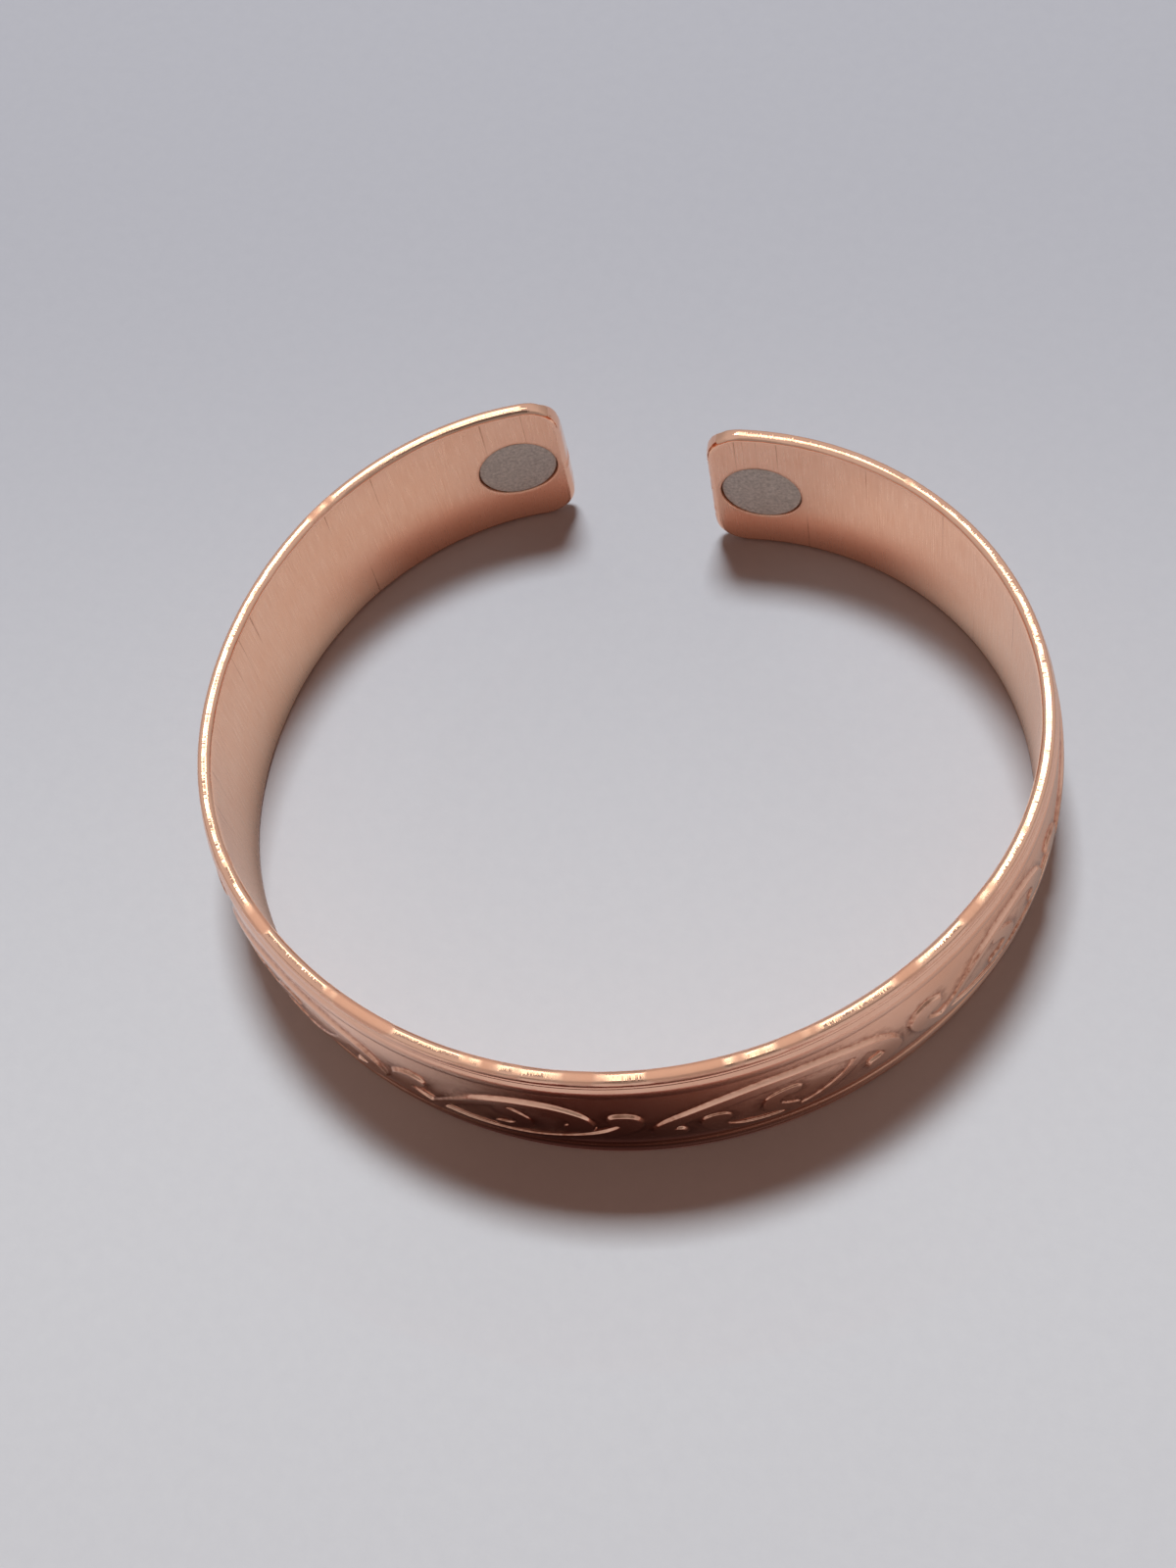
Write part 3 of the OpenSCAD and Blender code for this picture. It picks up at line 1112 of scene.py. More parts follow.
@dataclass
class BendTree:
    """Geometry Nodes that set the scroll slices in a row, join the ends on and bend the strip."""

    name: str = "bend_strip"
    merge_gap: float = 0.004 * MM
    nodes: NodeBuilder = field(init=False)
    given: Sockets = field(init=False)

    def build(self) -> bpy.types.GeometryNodeTree:
        """Builds the node tree with its named inputs.

        Returns:
            The tree.
        """
        shapes = dict.fromkeys(("Scroll Slice", "Left End", "Right End", "Oval"), "Object")
        sizes = dict.fromkeys(("Pitch", "First Slice", "Oval Depth", "Rim Height"), "Float")
        inputs = {**shapes, "Copper": "Material", "Slices": "Int", **sizes}
        self.nodes, self.given = new_group(self.name, "GeometryNodeTree", inputs, {"Geometry": "Geometry"})
        shape = self.bend(self.mark_uv(self.join_flat()))
        for kind, more in (
            ("GeometryNodeMergeByDistance", {"Distance": self.merge_gap}),
            ("GeometryNodeSetShadeSmooth", {}),
            ("GeometryNodeRealizeInstances", {}),
            ("GeometryNodeSetMaterial", {"Material": self.given["Copper"]}),
        ):
            shape = self.nodes.add(kind, {"Geometry": shape, **more}).outputs["Geometry"]
        self.nodes.add("NodeGroupOutput", {"Geometry": shape})
        return self.nodes.tree

    def shape_of(self, label: str) -> Socket:
        """Returns the geometry of the object given under a name."""
        return self.nodes.add("GeometryNodeObjectInfo", {"Object": self.given[label]}).outputs["Geometry"]

    def join_flat(self) -> Socket:
        """Sets the slices in a row, every other one turned half round, and joins the two ends on.

        Returns:
            The flat strip.
        """
        nodes, given = self.nodes, self.given
        start, step = (nodes.combined(X=given[label]) for label in ("First Slice", "Pitch"))
        row = nodes.add(
            "GeometryNodeMeshLine", {"Count": given["Slices"], "Start Location": start, "Offset": step}
        )
        index = nodes.add("GeometryNodeInputIndex").outputs[0]
        odd = nodes.math("MODULO", nodes.math("ADD", index, 1.0), 2.0)
        half_turn = nodes.combined(Y=nodes.math("MULTIPLY", odd, math.pi))
        turn = nodes.add("FunctionNodeEulerToRotation", {"Euler": half_turn})
        placed = nodes.add(
            "GeometryNodeInstanceOnPoints",
            {
                "Points": row.outputs["Mesh"],
                "Instance": self.shape_of("Scroll Slice"),
                "Rotation": turn.outputs["Rotation"],
            },
        )
        joined = nodes.add("GeometryNodeJoinGeometry")
        for part in (placed.outputs["Instances"], self.shape_of("Left End"), self.shape_of("Right End")):
            nodes.feed(joined.inputs["Geometry"], part)
        whole = nodes.add("GeometryNodeRealizeInstances", {"Geometry": joined.outputs[0]})
        return whole.outputs["Geometry"]

    def mark_uv(self, whole: Socket) -> Socket:
        """Keeps each point's place on the flat strip, in metres, as the strip's UV map.

        Args:
            whole: The flat strip.

        Returns:
            The strip with its UV map.
        """
        nodes = self.nodes
        flat = nodes.split(nodes.add("GeometryNodeInputPosition").outputs[0])
        stored = nodes.add(
            "GeometryNodeStoreNamedAttribute",
            {"Geometry": whole, "Name": STRIP_UV, "Value": nodes.combined(X=flat["X"], Y=flat["Z"])},
            data_type="FLOAT2",
            domain="CORNER",
        )
        return stored.outputs["Geometry"]

    def bend(self, whole: Socket) -> Socket:
        """Wraps the flat strip round the oval, keeping its height and its depth.

        Args:
            whole: The flat strip.

        Returns:
            The bent strip.
        """
        nodes = self.nodes
        flat = nodes.split(nodes.add("GeometryNodeInputPosition").outputs[0])
        place = nodes.add(
            "GeometryNodeSampleCurve",
            {"Curves": self.shape_of("Oval"), "Length": flat["X"]},
            mode="LENGTH",
            use_all_curves=True,
        )
        outward = nodes.vector("CROSS_PRODUCT", place.outputs["Tangent"], (0.0, 0.0, 1.0))
        beyond = nodes.math("SUBTRACT", nodes.product(flat["Y"], -1.0), self.given["Oval Depth"])
        aside = nodes.add("ShaderNodeVectorMath", {0: outward, "Scale": beyond}, operation="SCALE")
        up = nodes.combined(Z=nodes.math("ADD", flat["Z"], self.given["Rim Height"]))
        there = nodes.vector("ADD", place.outputs["Position"], aside.outputs["Vector"])
        there = nodes.vector("ADD", there, up)
        moved = nodes.add("GeometryNodeSetPosition", {"Geometry": whole, "Position": there})
        return moved.outputs["Geometry"]

    def set_inputs(self, modifier: bpy.types.NodesModifier, values: dict[str, object]) -> None:
        """Sets a modifier's inputs through the sockets' identifiers.

        Args:
            modifier: The modifier that holds the tree.
            values: Values by the inputs' names.
        """
        for item in modifier.node_group.interface.items_tree:
            if item.item_type == "SOCKET" and item.in_out == "INPUT" and item.name in values:
                modifier[item.identifier] = values[item.name]


@dataclass
class CuffBand:
    """The copper strip: rims, borders, scrolls, plain ends and the magnets' seats, all one piece."""

    oval: Oval = field(default_factory=Oval)
    strip: FlatStrip = field(default_factory=FlatStrip)
    scroll_count: int = 8
    scroll_shift: float = 3.4
    magnet_inset: float = 3.8
    piece: bpy.types.Object | None = None

    def oval_curve(self) -> bpy.types.Object:
        """Makes the curve that the strip is bent along.

        Returns:
            The curve's object.
        """
        points = self.oval.centred(self.strip.section.lay_t)
        curve = bpy.data.curves.new("cuff_oval", "CURVE")
        curve.dimensions = "3D"
        spline = curve.splines.new("POLY")
        spline.points.add(len(points) - 1)
        for target, (x, y) in zip(spline.points, points):
            target.co = (x * MM, y * MM, 0.0, 1.0)
        return linked("cuff_oval", curve)

    def build(self, copper: bpy.types.Material) -> bpy.types.Object:
        """Draws the flat slices, bends them round the oval and keeps the result as one plain mesh.

        Args:
            copper: The material of the whole strip.

        Returns:
            The finished object.
        """
        strip, section = self.strip, self.strip.section
        whole = self.oval.length(section.lay_t)
        row = self.scroll_count * strip.pitch
        left = (whole - row) / 2.0 + self.scroll_shift
        right = whole - row - left
        radii = (self.oval.stretches[0][0], self.oval.stretches[-1][0])
        left_end = strip.end_slice(left, self.magnet_inset, radii[0], End.LEFT)
        right_end = strip.end_slice(right, self.magnet_inset, radii[1], End.RIGHT).turned(whole)
        shapes = {
            "Left End": left_end.to_object("left_end_flat"),
            "Right End": right_end.to_object("right_end_flat"),
            "Scroll Slice": strip.scroll_slice().to_object("scroll_slice_flat"),
            "Oval": self.oval_curve(),
        }
        tree = BendTree()
        holder = linked("cuff_holder", bpy.data.meshes.new("cuff_holder"))
        modifier = holder.modifiers.new("bend", "NODES")
        modifier.node_group = tree.build()
        tree.set_inputs(
            modifier,
            {
                **shapes,
                "Copper": copper,
                "Slices": self.scroll_count,
                "Pitch": strip.pitch * MM,
                "First Slice": (left + strip.pitch / 2.0) * MM,
                "Oval Depth": section.lay_t * MM,
                "Rim Height": section.half * MM,
            },
        )
        self.piece = plain_copy(holder, "cuff_band_copper")
        for helper in (holder, *shapes.values()):
            bpy.data.objects.remove(helper)
        close_faces(self.piece.data)
        return self.piece

    def dress(self) -> None:
        """Hangs the strip on the root and hides the imported part that it replaces."""
        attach(self.piece, ROOT)
        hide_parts("cuff_band")


def plain_copy(holder: bpy.types.Object, name: str) -> bpy.types.Object:
    """Makes a plain mesh object of what an object's modifiers give, and takes the modifiers away.

    Args:
        holder: The object with the modifiers.
        name: Name of the new object.

    Returns:
        The new object.
    """
    graph = bpy.context.evaluated_depsgraph_get()
    mesh = bpy.data.meshes.new_from_object(holder.evaluated_get(graph), depsgraph=graph)
    holder.modifiers.clear()
    mesh.name = name
    return linked(name, mesh)


def close_faces(mesh: bpy.types.Mesh) -> None:
    """Drops degenerate faces, turns all faces outwards and reports any open edge.

    Args:
        mesh: The mesh that is put right.
    """
    work = bmesh.new()
    work.from_mesh(mesh)
    bmesh.ops.remove_doubles(work, verts=work.verts, dist=SAME_POINT)
    bmesh.ops.dissolve_degenerate(work, edges=work.edges, dist=NO_LENGTH)
    bmesh.ops.recalc_face_normals(work, faces=work.faces)
    if work.calc_volume(signed=True) < 0.0:
        bmesh.ops.reverse_faces(work, faces=work.faces)
    open_edges = sum(len(e.link_faces) != 2 for e in work.edges)
    triangles = sum(len(f.verts) - 2 for f in work.faces)
    volume = work.calc_volume() / MM**3
    log.info("%s: %d triangles, %d open edges, %.0f mm3", mesh.name, triangles, open_edges, volume)
    work.to_mesh(mesh)
    work.free()
    for polygon in mesh.polygons:
        polygon.use_smooth = True


@dataclass
class EndMagnet:
    """One round magnet in its seat, with a slightly rounded edge."""

    end: End
    band: CuffBand
    diameter: float = 6.0
    thickness: float = 0.55
    sink: float = 0.05
    edge: float = 0.07
    sides: int = 96
    rings: int = 12
    edge_rings: int = 5
    piece: bpy.types.Object | None = None

    @property
    def node(self) -> str:
        """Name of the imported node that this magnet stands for."""
        return f"magnet_{self.end.name.lower()}"

    def placing(self) -> Matrix:
        """Works out where the seat lies.

        Returns:
            The seat's frame: X along the strip, Y up and Z out of the oval.
        """
        oval = self.band.oval
        which = 0 if self.end is End.LEFT else -1
        radius, angle = oval.stretches[which][0], oval.angles()[which]
        out = polar(angle + self.end.value * math.degrees(self.band.magnet_inset / radius))
        centre = oval.line(0.0)[which] - radius * polar(angle)
        section = self.band.strip.section
        x, y = (centre + radius * out - oval.middle(section.lay_t)) * MM
        turn = Matrix(((-out[1], out[0], 0.0), (0.0, 0.0, 1.0), (out[0], out[1], 0.0))).transposed()
        return Matrix.Translation((x, y, section.half * MM)) @ turn.to_4x4()

    def profile(self) -> list[Plan]:
        """Lists the magnet's profile.

        Returns:
            Pairs of the radius and the depth, from its middle over the edge to the hidden side.
        """
        r, t, e = self.diameter / 2.0, self.thickness, self.edge
        face = [(r * k / self.rings, 0.0) for k in range(1, self.rings) if r * k / self.rings < r - e]
        quarter = np.linspace(0.0, math.pi / 2.0, self.edge_rings)
        near = [(r - e + e * math.sin(a), e - e * math.cos(a)) for a in quarter]
        return face + near + [(r - e + e * math.cos(a), t - e + e * math.sin(a)) for a in quarter]

    def build(self, grey: bpy.types.Material) -> bpy.types.Object:
        """Lathes the magnet and sets it in its seat.

        Args:
            grey: The magnet's material.

        Returns:
            The finished object.
        """
        around = [2.0 * math.pi * k / self.sides for k in range(self.sides)]
        work = bmesh.new()

        def point(radius: float, depth: float, angle: float = 0.0) -> bmesh.types.BMVert:
            """Adds one point of the lathed form."""
            x, y = radius * math.cos(angle) * MM, radius * math.sin(angle) * MM
            return work.verts.new((x, y, (self.sink + depth) * MM))

        loops = [[point(radius, depth, a) for a in around] for radius, depth in self.profile()]
        for a, b in zip(loops, loops[1:]):
            for k in range(self.sides):
                n = (k + 1) % self.sides
                work.faces.new((a[k], a[n], b[n], b[k]))
        for ring, depth in ((loops[0], 0.0), (loops[-1], self.thickness)):
            middle = point(0.0, depth)
            for k in range(self.sides):
                work.faces.new((middle, ring[k], ring[(k + 1) % self.sides]))
        work.transform(self.placing())
        mesh = bpy.data.meshes.new(f"end_{self.node}")
        work.to_mesh(mesh)
        work.free()
        self.piece = linked(mesh.name, mesh)
        close_faces(mesh)
        mesh.materials.append(grey)
        return self.piece

    def dress(self) -> None:
        """Hangs the magnet on the root and hides the imported magnet that it replaces."""
        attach(self.piece, ROOT)
        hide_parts(self.node)


@dataclass(frozen=True)
class FineGrain:
    """Shader group: fine grain stretched one way, as a height and a mask, for metal and paper alike."""

    name: str = "fine_grain"
    rough: float = 0.6

    def build(self) -> bpy.types.ShaderNodeTree:
        """Builds the group.

        Returns:
            The group's tree.
        """
        sizes = dict.fromkeys(("Scale", "Contrast", "Detail"), "Float")
        nodes, given = new_group(
            self.name,
            "ShaderNodeTree",
            {"Vector": "Vector", "Stretch": "Vector", **sizes},
            {"Height": "Float", "Mask": "Float"},
        )
        stretched = nodes.vector("MULTIPLY", given["Vector"], given["Stretch"])
        fineness = {"Scale": given["Scale"], "Detail": given["Detail"], "Roughness": self.rough}
        noise = nodes.add("ShaderNodeTexNoise", {"Vector": stretched, **fineness})
        strong = nodes.product(nodes.math("SUBTRACT", noise.outputs[0], 0.5), given["Contrast"])
        nodes.add("NodeGroupOutput", {"Height": strong, "Mask": nodes.mapped(strong, (-0.5, 0.5))})
        return nodes.tree


@dataclass(frozen=True)
class Grain:
    """One use of the shared grain, with its own values."""

    scale: float
    contrast: float
    stretch: Triple = (1.0, 1.0, 1.0)
    detail: float = 4.0

    def place(self, nodes: NodeBuilder, group: bpy.types.ShaderNodeTree, where: Socket) -> Sockets:
        """Adds the group to a material.

        Args:
            nodes: Builder of the material's nodes.
            group: The shared group of fine grain.
            where: The place on the surface.

        Returns:
            The grain's height and mask, by name.
        """
        sizes = {"Scale": self.scale, "Contrast": self.contrast, "Detail": self.detail}
        node = nodes.add(
            "ShaderNodeGroup", {"Vector": where, "Stretch": self.stretch, **sizes}, node_tree=group
        )
        return {socket.name: socket for socket in node.outputs}


@dataclass(frozen=True)
class CopperFinish:
    """Polished copper: mirror-like outside, cross-brushed inside, darker in the relief's feet from patina and
    painted shade.
    """

    clean: Colour = (0.95, 0.565, 0.405, 1.0)
    warm: Colour = (0.93, 0.52, 0.355, 1.0)
    patina_and_shade_tint: Colour = (0.42, 0.16, 0.09, 1.0)
    streak_tint: Colour = (0.80, 0.66, 0.58, 1.0)
    scratch_tint: Colour = (0.42, 0.30, 0.26, 1.0)
    brush: Grain = Grain(9000.0, 1.6, (1.0, 0.035, 1.0))
    scratch: Grain = Grain(3000.0, 1.0, (1.0, 0.008, 1.0), 1.0)
    cloud: Grain = Grain(260.0, 2.2)
    pits: Grain = Grain(2600.0, 2.4)
    ripple: Grain = Grain(420.0, 1.0, (1.0, 0.5, 1.0))
    wave: Grain = Grain(170.0, 1.0, (1.0, 3.5, 0.0), 2.5)
    grit: Grain = Grain(4300.0, 1.0, (1.0, 0.0, 0.0), 2.0)
    patina_and_shade_least: float = 0.15
    streak_most: float = 0.55
    scratch_span: Plan = (0.68, 0.71)
    inner_rough: float = 0.22
    inner_uneven: float = 0.16
    outer_rough: float = 0.10
    outer_uneven: float = 0.10
    recess_rough: float = 0.07
    outer_pits: float = 0.35
    recess_pits: float = 0.9
    fine_bump: Plan = (0.22, 0.02 * MM)
    ripple_bump: Plan = (0.5, 0.04 * MM)
    rim_bump: Plan = (1.0, 0.2 * MM)
    rim_rough: float = 0.05
    rim_dull: float = 0.62
    rim_grit: float = 0.06
    worn_span: Plan = (0.47, 0.53)
    worn_middle: float = 86.0 * MM
    worn_reach: Plan = (20.0 * MM, 36.0 * MM)
    side_sheen: float = 0.11

    def build(self, group: bpy.types.ShaderNodeTree) -> bpy.types.Material:
        """Builds the material.

        Args:
            group: The shared group of fine grain.

        Returns:
            The material.
        """
        material, nodes = new_material("polished_copper")
        uv = nodes.add("ShaderNodeUVMap", uv_map=STRIP_UV).outputs[0]
        mark = {
            zone: nodes.add("ShaderNodeAttribute", attribute_name=zone.value).outputs["Fac"] for zone in Zone
        }
        uses = {name: use for name, use in vars(self).items() if isinstance(use, Grain)}
        grain = {name: use.place(nodes, group, uv) for name, use in uses.items()}
        rough = self.roughness(nodes, mark, grain, nodes.split(uv)["X"])
        colour, normal = self.colour(nodes, mark, grain), self.normal(nodes, mark, grain)
        nodes.principled(colour, rough, normal, metallic=1.0)
        return material

    def colour(self, nodes: NodeBuilder, mark: dict[Zone, Socket], grain: dict[str, Sockets]) -> Socket:
        """Mixes the copper's colour, with patina and painted shade in the relief's feet.

        Args:
            nodes: Builder of the material's nodes.
            mark: The zones' marks.
            grain: The grains' outputs, by the fields' names.

        Returns:
            The colour.
        """
        cloud, pits = grain["cloud"]["Mask"], grain["pits"]["Mask"]
        colour = nodes.mix(cloud, self.clean, self.warm)
        # Patina and painted shade: the foot mark, speckled by the pits, darkens the copper.
        patina_and_shade_mix = nodes.product(mark[Zone.FOOT], nodes.math("ADD", pits, self.patina_and_shade_least))
        colour = nodes.mix(patina_and_shade_mix, colour, self.patina_and_shade_tint)
        streak = nodes.product(grain["brush"]["Mask"], mark[Zone.INNER], self.streak_most)
        colour = nodes.mix(streak, colour, self.streak_tint, blend="MULTIPLY")
        line = nodes.mapped(grain["scratch"]["Mask"], self.scratch_span)
        line = nodes.product(line, mark[Zone.INNER], cloud)
        return nodes.mix(line, colour, self.scratch_tint, blend="MULTIPLY")

    def roughness(
        self, nodes: NodeBuilder, mark: dict[Zone, Socket], grain: dict[str, Sockets], x: Socket
    ) -> Socket:
        """Mixes the roughness: the rims are worn in patches, and more often far from the front's middle.

        Args:
            nodes: Builder of the material's nodes.
            mark: The zones' marks.
            grain: The grains' outputs, by the fields' names.
            x: The place along the strip.

        Returns:
            The roughness.
        """
        inner = nodes.math("MULTIPLY_ADD", grain["brush"]["Mask"], self.inner_uneven, self.inner_rough)
        outer = nodes.math("MULTIPLY_ADD", grain["cloud"]["Mask"], self.outer_uneven, self.outer_rough)
        outer = nodes.math("MULTIPLY_ADD", mark[Zone.RECESS], self.recess_rough, outer)
        faces = nodes.mix(mark[Zone.INNER], outer, inner, "FLOAT")
        aside = nodes.math("ABSOLUTE", nodes.math("SUBTRACT", x, self.worn_middle))
        sheen = nodes.mapped(aside, self.worn_reach, (0.0, self.side_sheen))
        dulled = nodes.math("SUBTRACT", grain["wave"]["Mask"], sheen)
        rim = nodes.mapped(dulled, self.worn_span, (self.rim_rough, self.rim_dull))
        return nodes.mix(mark[Zone.RIM], faces, rim, "FLOAT")

    def normal(self, nodes: NodeBuilder, mark: dict[Zone, Socket], grain: dict[str, Sockets]) -> Socket:
        """Stacks the bumps: brushing and pits, slow ripples, and the rims' dents and scratches.

        Args:
            nodes: Builder of the material's nodes.
            mark: The zones' marks.
            grain: The grains' outputs, by the fields' names.

        Returns:
            The normal.
        """
        height = {name: sockets["Height"] for name, sockets in grain.items()}
        inner = nodes.product(height["brush"], mark[Zone.INNER])
        pitted = nodes.math("MULTIPLY_ADD", mark[Zone.RECESS], self.recess_pits, self.outer_pits)
        fine = nodes.math("ADD", inner, nodes.product(height["pits"], pitted))
        dents = nodes.math("MULTIPLY_ADD", height["grit"], self.rim_grit, height["wave"])
        normal = nodes.bump(fine, *self.fine_bump)
        normal = nodes.bump(height["ripple"], *self.ripple_bump, Normal=normal)
        return nodes.bump(nodes.product(mark[Zone.RIM], dents), *self.rim_bump, Normal=normal)


@dataclass(frozen=True)
class MagnetFinish:
    """Dull grey magnet face with a fine speckle."""

    dark: Colour = (0.38, 0.33, 0.29, 1.0)
    light: Colour = (0.66, 0.59, 0.53, 1.0)
    speckle: Grain = Grain(4200.0, 2.6)
    metallic: float = 0.55
    rough: float = 0.5
    uneven: float = 0.15
    bump: Plan = (0.4, 0.03 * MM)

    def build(self, group: bpy.types.ShaderNodeTree) -> bpy.types.Material:
        """Builds the material.

        Args:
            group: The shared group of fine grain.

        Returns:
            The material.
        """
        material, nodes = new_material("dull_magnet")
        where = nodes.add("ShaderNodeTexCoord").outputs["Object"]
        speckle = self.speckle.place(nodes, group, where)
        colour = nodes.mix(speckle["Mask"], self.dark, self.light)
        rough = nodes.math("MULTIPLY_ADD", speckle["Mask"], self.uneven, self.rough)
        nodes.principled(colour, rough, nodes.bump(speckle["Height"], *self.bump), self.metallic)
        return material


@dataclass(frozen=True)
class FloorFinish:
    """Plain pale studio paper with a fine tooth, with painted shade that makes it slowly darker towards the
    back.
    """

    pale: Colour = (0.60, 0.595, 0.605, 1.0)
    shade: Colour = (0.56, 0.555, 0.57, 1.0)
    far: Colour = (0.70, 0.70, 0.735, 1.0)
    way_back: Triple = (-0.285, 0.959, 0.0)
    reach: Plan = (-40.0 * MM, 62.0 * MM)
    tooth: Grain = Grain(900.0, 1.0)
    rough: float = 0.6
    bump: Plan = (0.15, 0.1 * MM)

    def build(self, group: bpy.types.ShaderNodeTree) -> bpy.types.Material:
        """Builds the material.

        Args:
            group: The shared group of fine grain.

        Returns:
            The material.
        """
        material, nodes = new_material("pale_floor")
        where = nodes.add("ShaderNodeTexCoord").outputs["Object"]
        tooth = self.tooth.place(nodes, group, where)
        colour = nodes.mix(tooth["Mask"], self.pale, self.shade)
        # Painted shade: the floor turns darker and bluer towards the back.
        back = nodes.towards(where, self.way_back, self.reach)
        colour = nodes.mix(back, colour, self.far, blend="MULTIPLY")
        nodes.principled(colour, self.rough, nodes.bump(tooth["Height"], *self.bump))
        return material


def show_to_metal(shape: bpy.types.Object) -> None:
    """Hides a shape from all rays but the glossy ones, so that it shows only as a painted reflection."""
    for ray in ("camera", "diffuse", "shadow", "transmission", "volume_scatter"):
        setattr(shape, f"visible_{ray}", False)


def rectangle(
    name: str,
    width: float,
    height: float,
    material: bpy.types.Material,
    order: tuple[int, ...] = (0, 1, 2, 3),
) -> bpy.types.Object:
    """Makes a flat rectangle about the origin.

    Args:
        name: Name of the object.
        width: Its size along X, in metres.
        height: Its size along Y, in metres.
        material: Its material.
        order: Order of its corners, which says which way it faces.

    Returns:
        The rectangle.
    """
    x, y = width / 2.0, height / 2.0
    mesh = bpy.data.meshes.new(name)
    mesh.from_pydata([(-x, -y, 0.0), (x, -y, 0.0), (x, y, 0.0), (-x, y, 0.0)], [], [order])
    mesh.materials.append(material)
    return linked(name, mesh)


@dataclass(frozen=True)
class Softbox:
    """One soft rectangular light, aimed at the bracelet: it lights the floor, or only glints on metal."""

    name: str
    azimuth: float
    elevation: float
    distance: float
    width: float
    height: float
    power: float
    colour: Triple = (1.0, 1.0, 1.0)
    glint: bool = False

    def build(self) -> None:
        """Hangs the light."""
        way = way_to(self.azimuth, self.elevation)
        data = bpy.data.lights.new(self.name, "AREA")
        data.shape = "RECTANGLE"
        data.size = self.width
        data.size_y = self.height
        data.energy = self.power
        data.color = self.colour
        lamp = linked(self.name, data)
        lamp.location = way * self.distance
        lamp.visible_glossy = self.glint
        lamp.visible_diffuse = not self.glint
        lamp.rotation_euler = way.to_track_quat("Z", "Y").to_euler()


@dataclass(frozen=True)
class PaintedReflectionCard:
    """A glowing strip laid along the bracelet's foot, which only the polished metal sees: it paints the
    reflection of shadowed or lit floor into the metal.

    The stops are pairs of the distance from the wall, in millimetres, and the card's brightness there.
    """

    name: str
    outside: bool
    start: float
    end: float
    tint: Triple
    stops: tuple[Plan, ...]
    lift: float = 0.06
    fade: float = 12.0
    clear: float = 0.1
    every: int = 4
    light: str = "card_light"

    def build(self, band: CuffBand) -> None:
        """Lays the card beside the strip, between two lengths along it.

        Args:
            band: The strip that it follows.
        """
        depth = band.strip.section.lay_t
        line = band.oval.centred(depth)
        runs = distances(line)
        way = np.diff(line, axis=0, append=2.0 * line[-1:] - line[-2:-1])
        out = np.column_stack([way[:, 1], -way[:, 0]]) / np.linalg.norm(way, axis=1)[:, None]
        side = 1.0 if self.outside else -1.0
        foot = line if self.outside else line - out * depth
        keep = np.flatnonzero((runs >= self.start) & (runs <= self.end))[:: self.every]
        points, colours = [], []
        for row in keep:
            shown = float(smoothstep(min(runs[row] - self.start, self.end - runs[row]) / self.fade))
            for away, light in self.stops:
                x, y = foot[row] + out[row] * side * (away + self.clear)
                points.append((x * MM, y * MM, self.lift * MM))
                colours += [*(c * light for c in self.tint), shown]
        count = len(self.stops)
        corners = [a * count + b for a in range(len(keep) - 1) for b in range(count - 1)]
        mesh = bpy.data.meshes.new(self.name)
        mesh.from_pydata(points, [], [(k, k + 1, k + count + 1, k + count) for k in corners])
        mesh.attributes.new(self.light, "FLOAT_COLOR", "POINT").data.foreach_set("color", colours)
        mesh.materials.append(self.material())
        card = linked(self.name, mesh)
        show_to_metal(card)

    def material(self) -> bpy.types.Material:
        """Builds the card's material: its own glow, which is the painted reflection, fading out towards its
        ends.

        Returns:
            The material.
        """
        material, nodes = new_material(self.name)
        light = nodes.add("ShaderNodeAttribute", attribute_name=self.light).outputs
        glow = nodes.add("ShaderNodeEmission", {"Color": light["Color"], "Strength": 1.0}).outputs[0]
        clear = nodes.add("ShaderNodeBsdfTransparent").outputs[0]
        nodes.output(nodes.add("ShaderNodeMixShader", {0: light["Alpha"], 1: clear, 2: glow}))
        return material


@dataclass(frozen=True)
class CameraShade:
    """A dim glowing sheet behind the camera that only the metal sees: a painted dark reflection, which the rims
    mirror as a thin line.
    """

    width: float = 0.075
    height: float = 0.15
    behind: float = 0.004
    glow: float = 0.14

    def build(self, camera: bpy.types.Object) -> None:
        """Hangs the shape behind the camera, square to its view.

        Args:
            camera: The camera that it hangs behind.
        """
        material, nodes = new_material("camera_shade")
        # Painted reflection: a dim glowing sheet that only glossy rays see.
        nodes.output(nodes.add("ShaderNodeEmission", {"Strength": self.glow}))
        shade = rectangle("camera_shade", self.width, self.height, material, (0, 3, 2, 1))
        shade.rotation_euler = camera.rotation_euler
        back = camera.rotation_euler.to_matrix() @ Vector((0.0, 0.0, self.behind))
        shade.location = camera.location + back
        show_to_metal(shade)


@dataclass(frozen=True)
class RoomPatch:
    """A part of the room with its own brightness: where it lies and the cosines over which it comes in."""

    way: Triple
    span: Plan
    bright: float


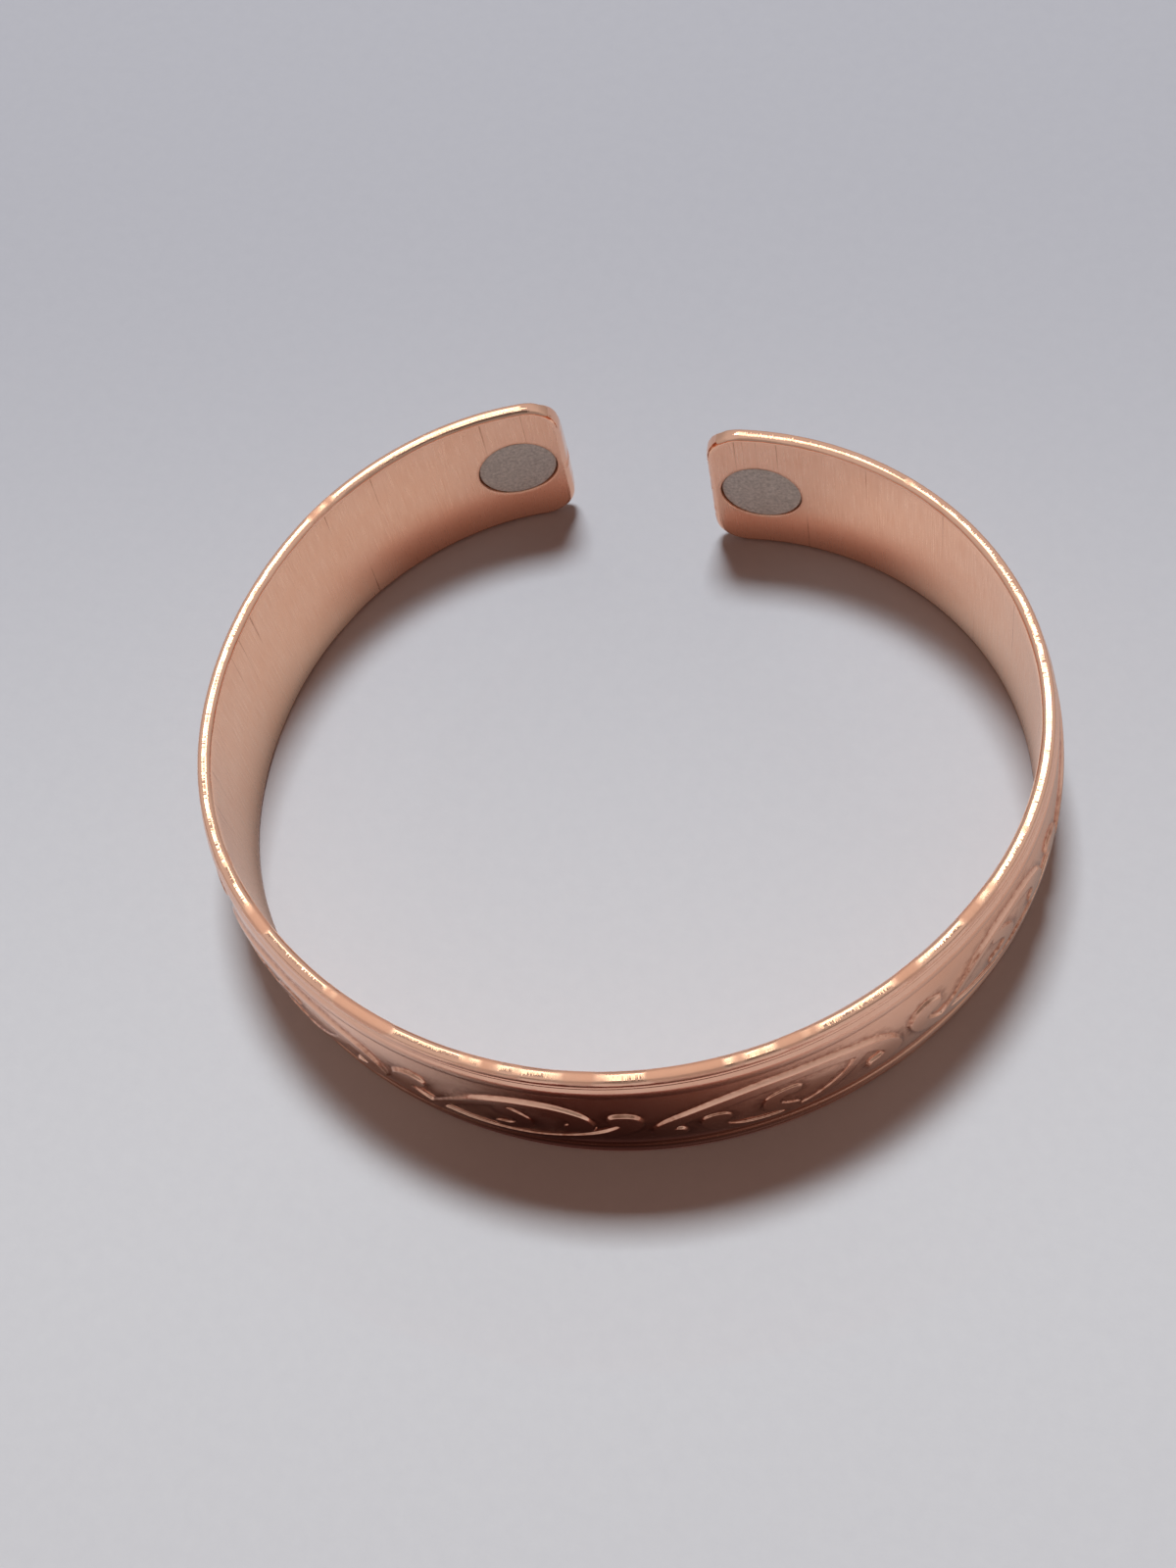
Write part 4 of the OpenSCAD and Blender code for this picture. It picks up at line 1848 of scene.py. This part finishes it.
@dataclass
class Studio:
    """The pale floor, the soft lights, the surroundings and the camera."""

    floor_size: float = 6.0
    lights: tuple[Softbox, ...] = (
        Softbox("key_back", 199.0, 69.0, 0.9, 0.22, 0.16, 8.6, (0.86, 0.95, 1.0)),
        Softbox("glint_top", 214.0, 73.0, 0.9, 0.14, 0.84, 0.62, (1.0, 1.0, 0.86), True),
        Softbox("glint_right", 191.0, 62.3, 0.9, 0.20, 0.10, 0.24, (1.0, 1.0, 0.90), True),
        Softbox("glint_left", 227.0, 55.0, 0.9, 0.16, 0.10, 0.24, (1.0, 1.0, 0.90), True),
    )
    # Painted reflections: glowing cards that only the metal sees, dark for the shadow in front (shade), pale
    # for lit floor (pale, soft) and darker by the ends' inner faces (dusk).
    cards: tuple[PaintedReflectionCard, ...] = (
        PaintedReflectionCard("shade_card_left", True, 60.0, 104.0, (1.0, 0.42, 0.37),
                  ((-0.6, 0.09), (0.3, 0.02), (2.0, 0.02), (4.0, 0.035), (8.0, 0.055), (11.0, 0.08),
                   (13.0, 0.2), (14.5, 0.5)),
                  fade=20.0),
        PaintedReflectionCard("shade_card_right", True, 70.0, 110.0, (1.0, 0.58, 0.5),
                  ((-0.6, 0.12), (0.3, 0.06), (2.0, 0.1), (4.0, 0.15), (7.0, 0.2), (10.0, 0.28),
                   (13.0, 0.45), (14.5, 0.58)),
                  0.05, 20.0),
        PaintedReflectionCard("soft_card_right", True, 98.0, 150.0, (1.0, 0.88, 0.84),
                  ((0.0, 0.2), (2.0, 0.3), (4.0, 0.4), (8.0, 0.5), (12.0, 0.58)), 0.045, 16.0),
        PaintedReflectionCard("pale_card_left", False, 0.0, 62.0, (1.0, 1.0, 1.0),
                  ((0.0, 0.16), (1.2, 0.45), (3.0, 0.62), (8.0, 0.64), (12.0, 0.62))),
        PaintedReflectionCard("pale_card_right", False, 122.0, 168.4, (1.0, 1.0, 1.0),
                  ((0.0, 0.18), (1.2, 0.52), (3.0, 0.72), (8.0, 0.74), (12.0, 0.70))),
        PaintedReflectionCard("dusk_card_left", False, -14.0, 26.0, (1.0, 0.6, 0.51),
                  ((0.0, 0.12), (1.4, 0.2), (2.6, 0.3), (3.4, 0.6)), 0.07, 13.0),
        PaintedReflectionCard("dusk_card_right", False, 144.0, 190.0, (1.0, 0.6, 0.51),
                  ((0.0, 0.12), (1.2, 0.2), (2.0, 0.3), (2.8, 0.6)), 0.07, 13.0),
    )
    room_low: float = 0.40
    room_tint: Colour = (0.98, 0.985, 1.0, 1.0)
    room_bounce: Colour = (0.19, 0.10, 0.078, 1.0)
    ceiling: RoomPatch = RoomPatch((0.0, 0.0, 1.0), (0.0, 0.8), 0.62)
    room_front: RoomPatch = RoomPatch((0.565, -0.807, 0.174), (0.5, 0.8), 0.31)
    room_lamp: RoomPatch = RoomPatch((-0.182, 0.270, 0.946), (0.985, 0.996), 0.30)
    aim: Triple = (-2.01, -1.86, 6.75)
    azimuth: float = 34.98
    elevation: float = 61.58
    roll: float = 16.35
    distance: float = 163.73
    lens: float = 52.92
    sensor: float = 36.0
    seen: Plan = (0.005, 20.0)

    def build_room(self) -> None:
        """Gives the room that the metal mirrors, brighter above, and the weak warm light in shadows."""
        world = bpy.data.worlds.new("studio_room")
        bpy.context.scene.world = world
        world.use_nodes = True
        world.node_tree.nodes.clear()
        nodes = NodeBuilder(world.node_tree)
        where = nodes.add("ShaderNodeTexCoord").outputs["Generated"]
        strength: Feed = self.room_low
        for patch in (self.ceiling, self.room_front, self.room_lamp):
            part = nodes.towards(where, patch.way, patch.span)
            strength = nodes.mix(part, strength, patch.bright, "FLOAT")
        shown = nodes.add("ShaderNodeBackground", {"Color": self.room_tint, "Strength": strength}).outputs[0]
        bounce = nodes.add("ShaderNodeBackground", {"Color": self.room_bounce, "Strength": 1.0}).outputs[0]
        diffuse = nodes.add("ShaderNodeLightPath").outputs["Is Diffuse Ray"]
        nodes.output(nodes.add("ShaderNodeMixShader", {0: diffuse, 1: shown, 2: bounce}), "World")

    def build_camera(self) -> None:
        """Sets the camera at the photograph's angle to the bracelet."""
        way = way_to(self.azimuth, self.elevation)
        data = bpy.data.cameras.new("photo_camera")
        data.sensor_width = self.sensor
        data.sensor_fit = "AUTO"
        data.lens = self.lens
        data.clip_start, data.clip_end = self.seen
        camera = linked("photo_camera", data)
        turn = way.to_track_quat("Z", "Y").to_matrix() @ Matrix.Rotation(math.radians(-self.roll), 3, "Z")
        camera.location = (Vector(self.aim) + way * self.distance) * MM
        camera.rotation_euler = turn.to_euler()
        bpy.context.scene.camera = camera
        CameraShade().build(camera)

    def build(self, paper: bpy.types.Material, band: CuffBand) -> None:
        """Builds the whole studio, with its floor at the height that the bracelet rests on.

        Args:
            paper: The floor's material.
            band: The strip that the cards follow.
        """
        self.build_camera()
        floor = rectangle("floor", self.floor_size, self.floor_size, paper)
        self.build_room()
        for light in self.lights:
            light.build()
        for card in self.cards:
            card.build(band)
        settings = bpy.context.scene.view_settings
        settings.view_transform = "Standard"
        settings.look = "None"
        settings.exposure = 0.0
        settings.gamma = 1.0


def main() -> None:
    """Builds the bracelet and its studio, in order, and reports each piece."""
    logging.basicConfig(level=logging.INFO, format="%(name)s: %(message)s")
    grain = FineGrain().build()
    band = CuffBand()
    Studio().build(FloorFinish().build(grain), band)
    log.info("studio built")
    band.build(CopperFinish().build(grain))
    band.dress()
    log.info("%s built", band.piece.name)
    grey = MagnetFinish().build(grain)
    for end in End:
        magnet = EndMagnet(end, band)
        magnet.build(grey)
        magnet.dress()
        log.info("%s built", magnet.piece.name)


if __name__ == "__main__":
    main()
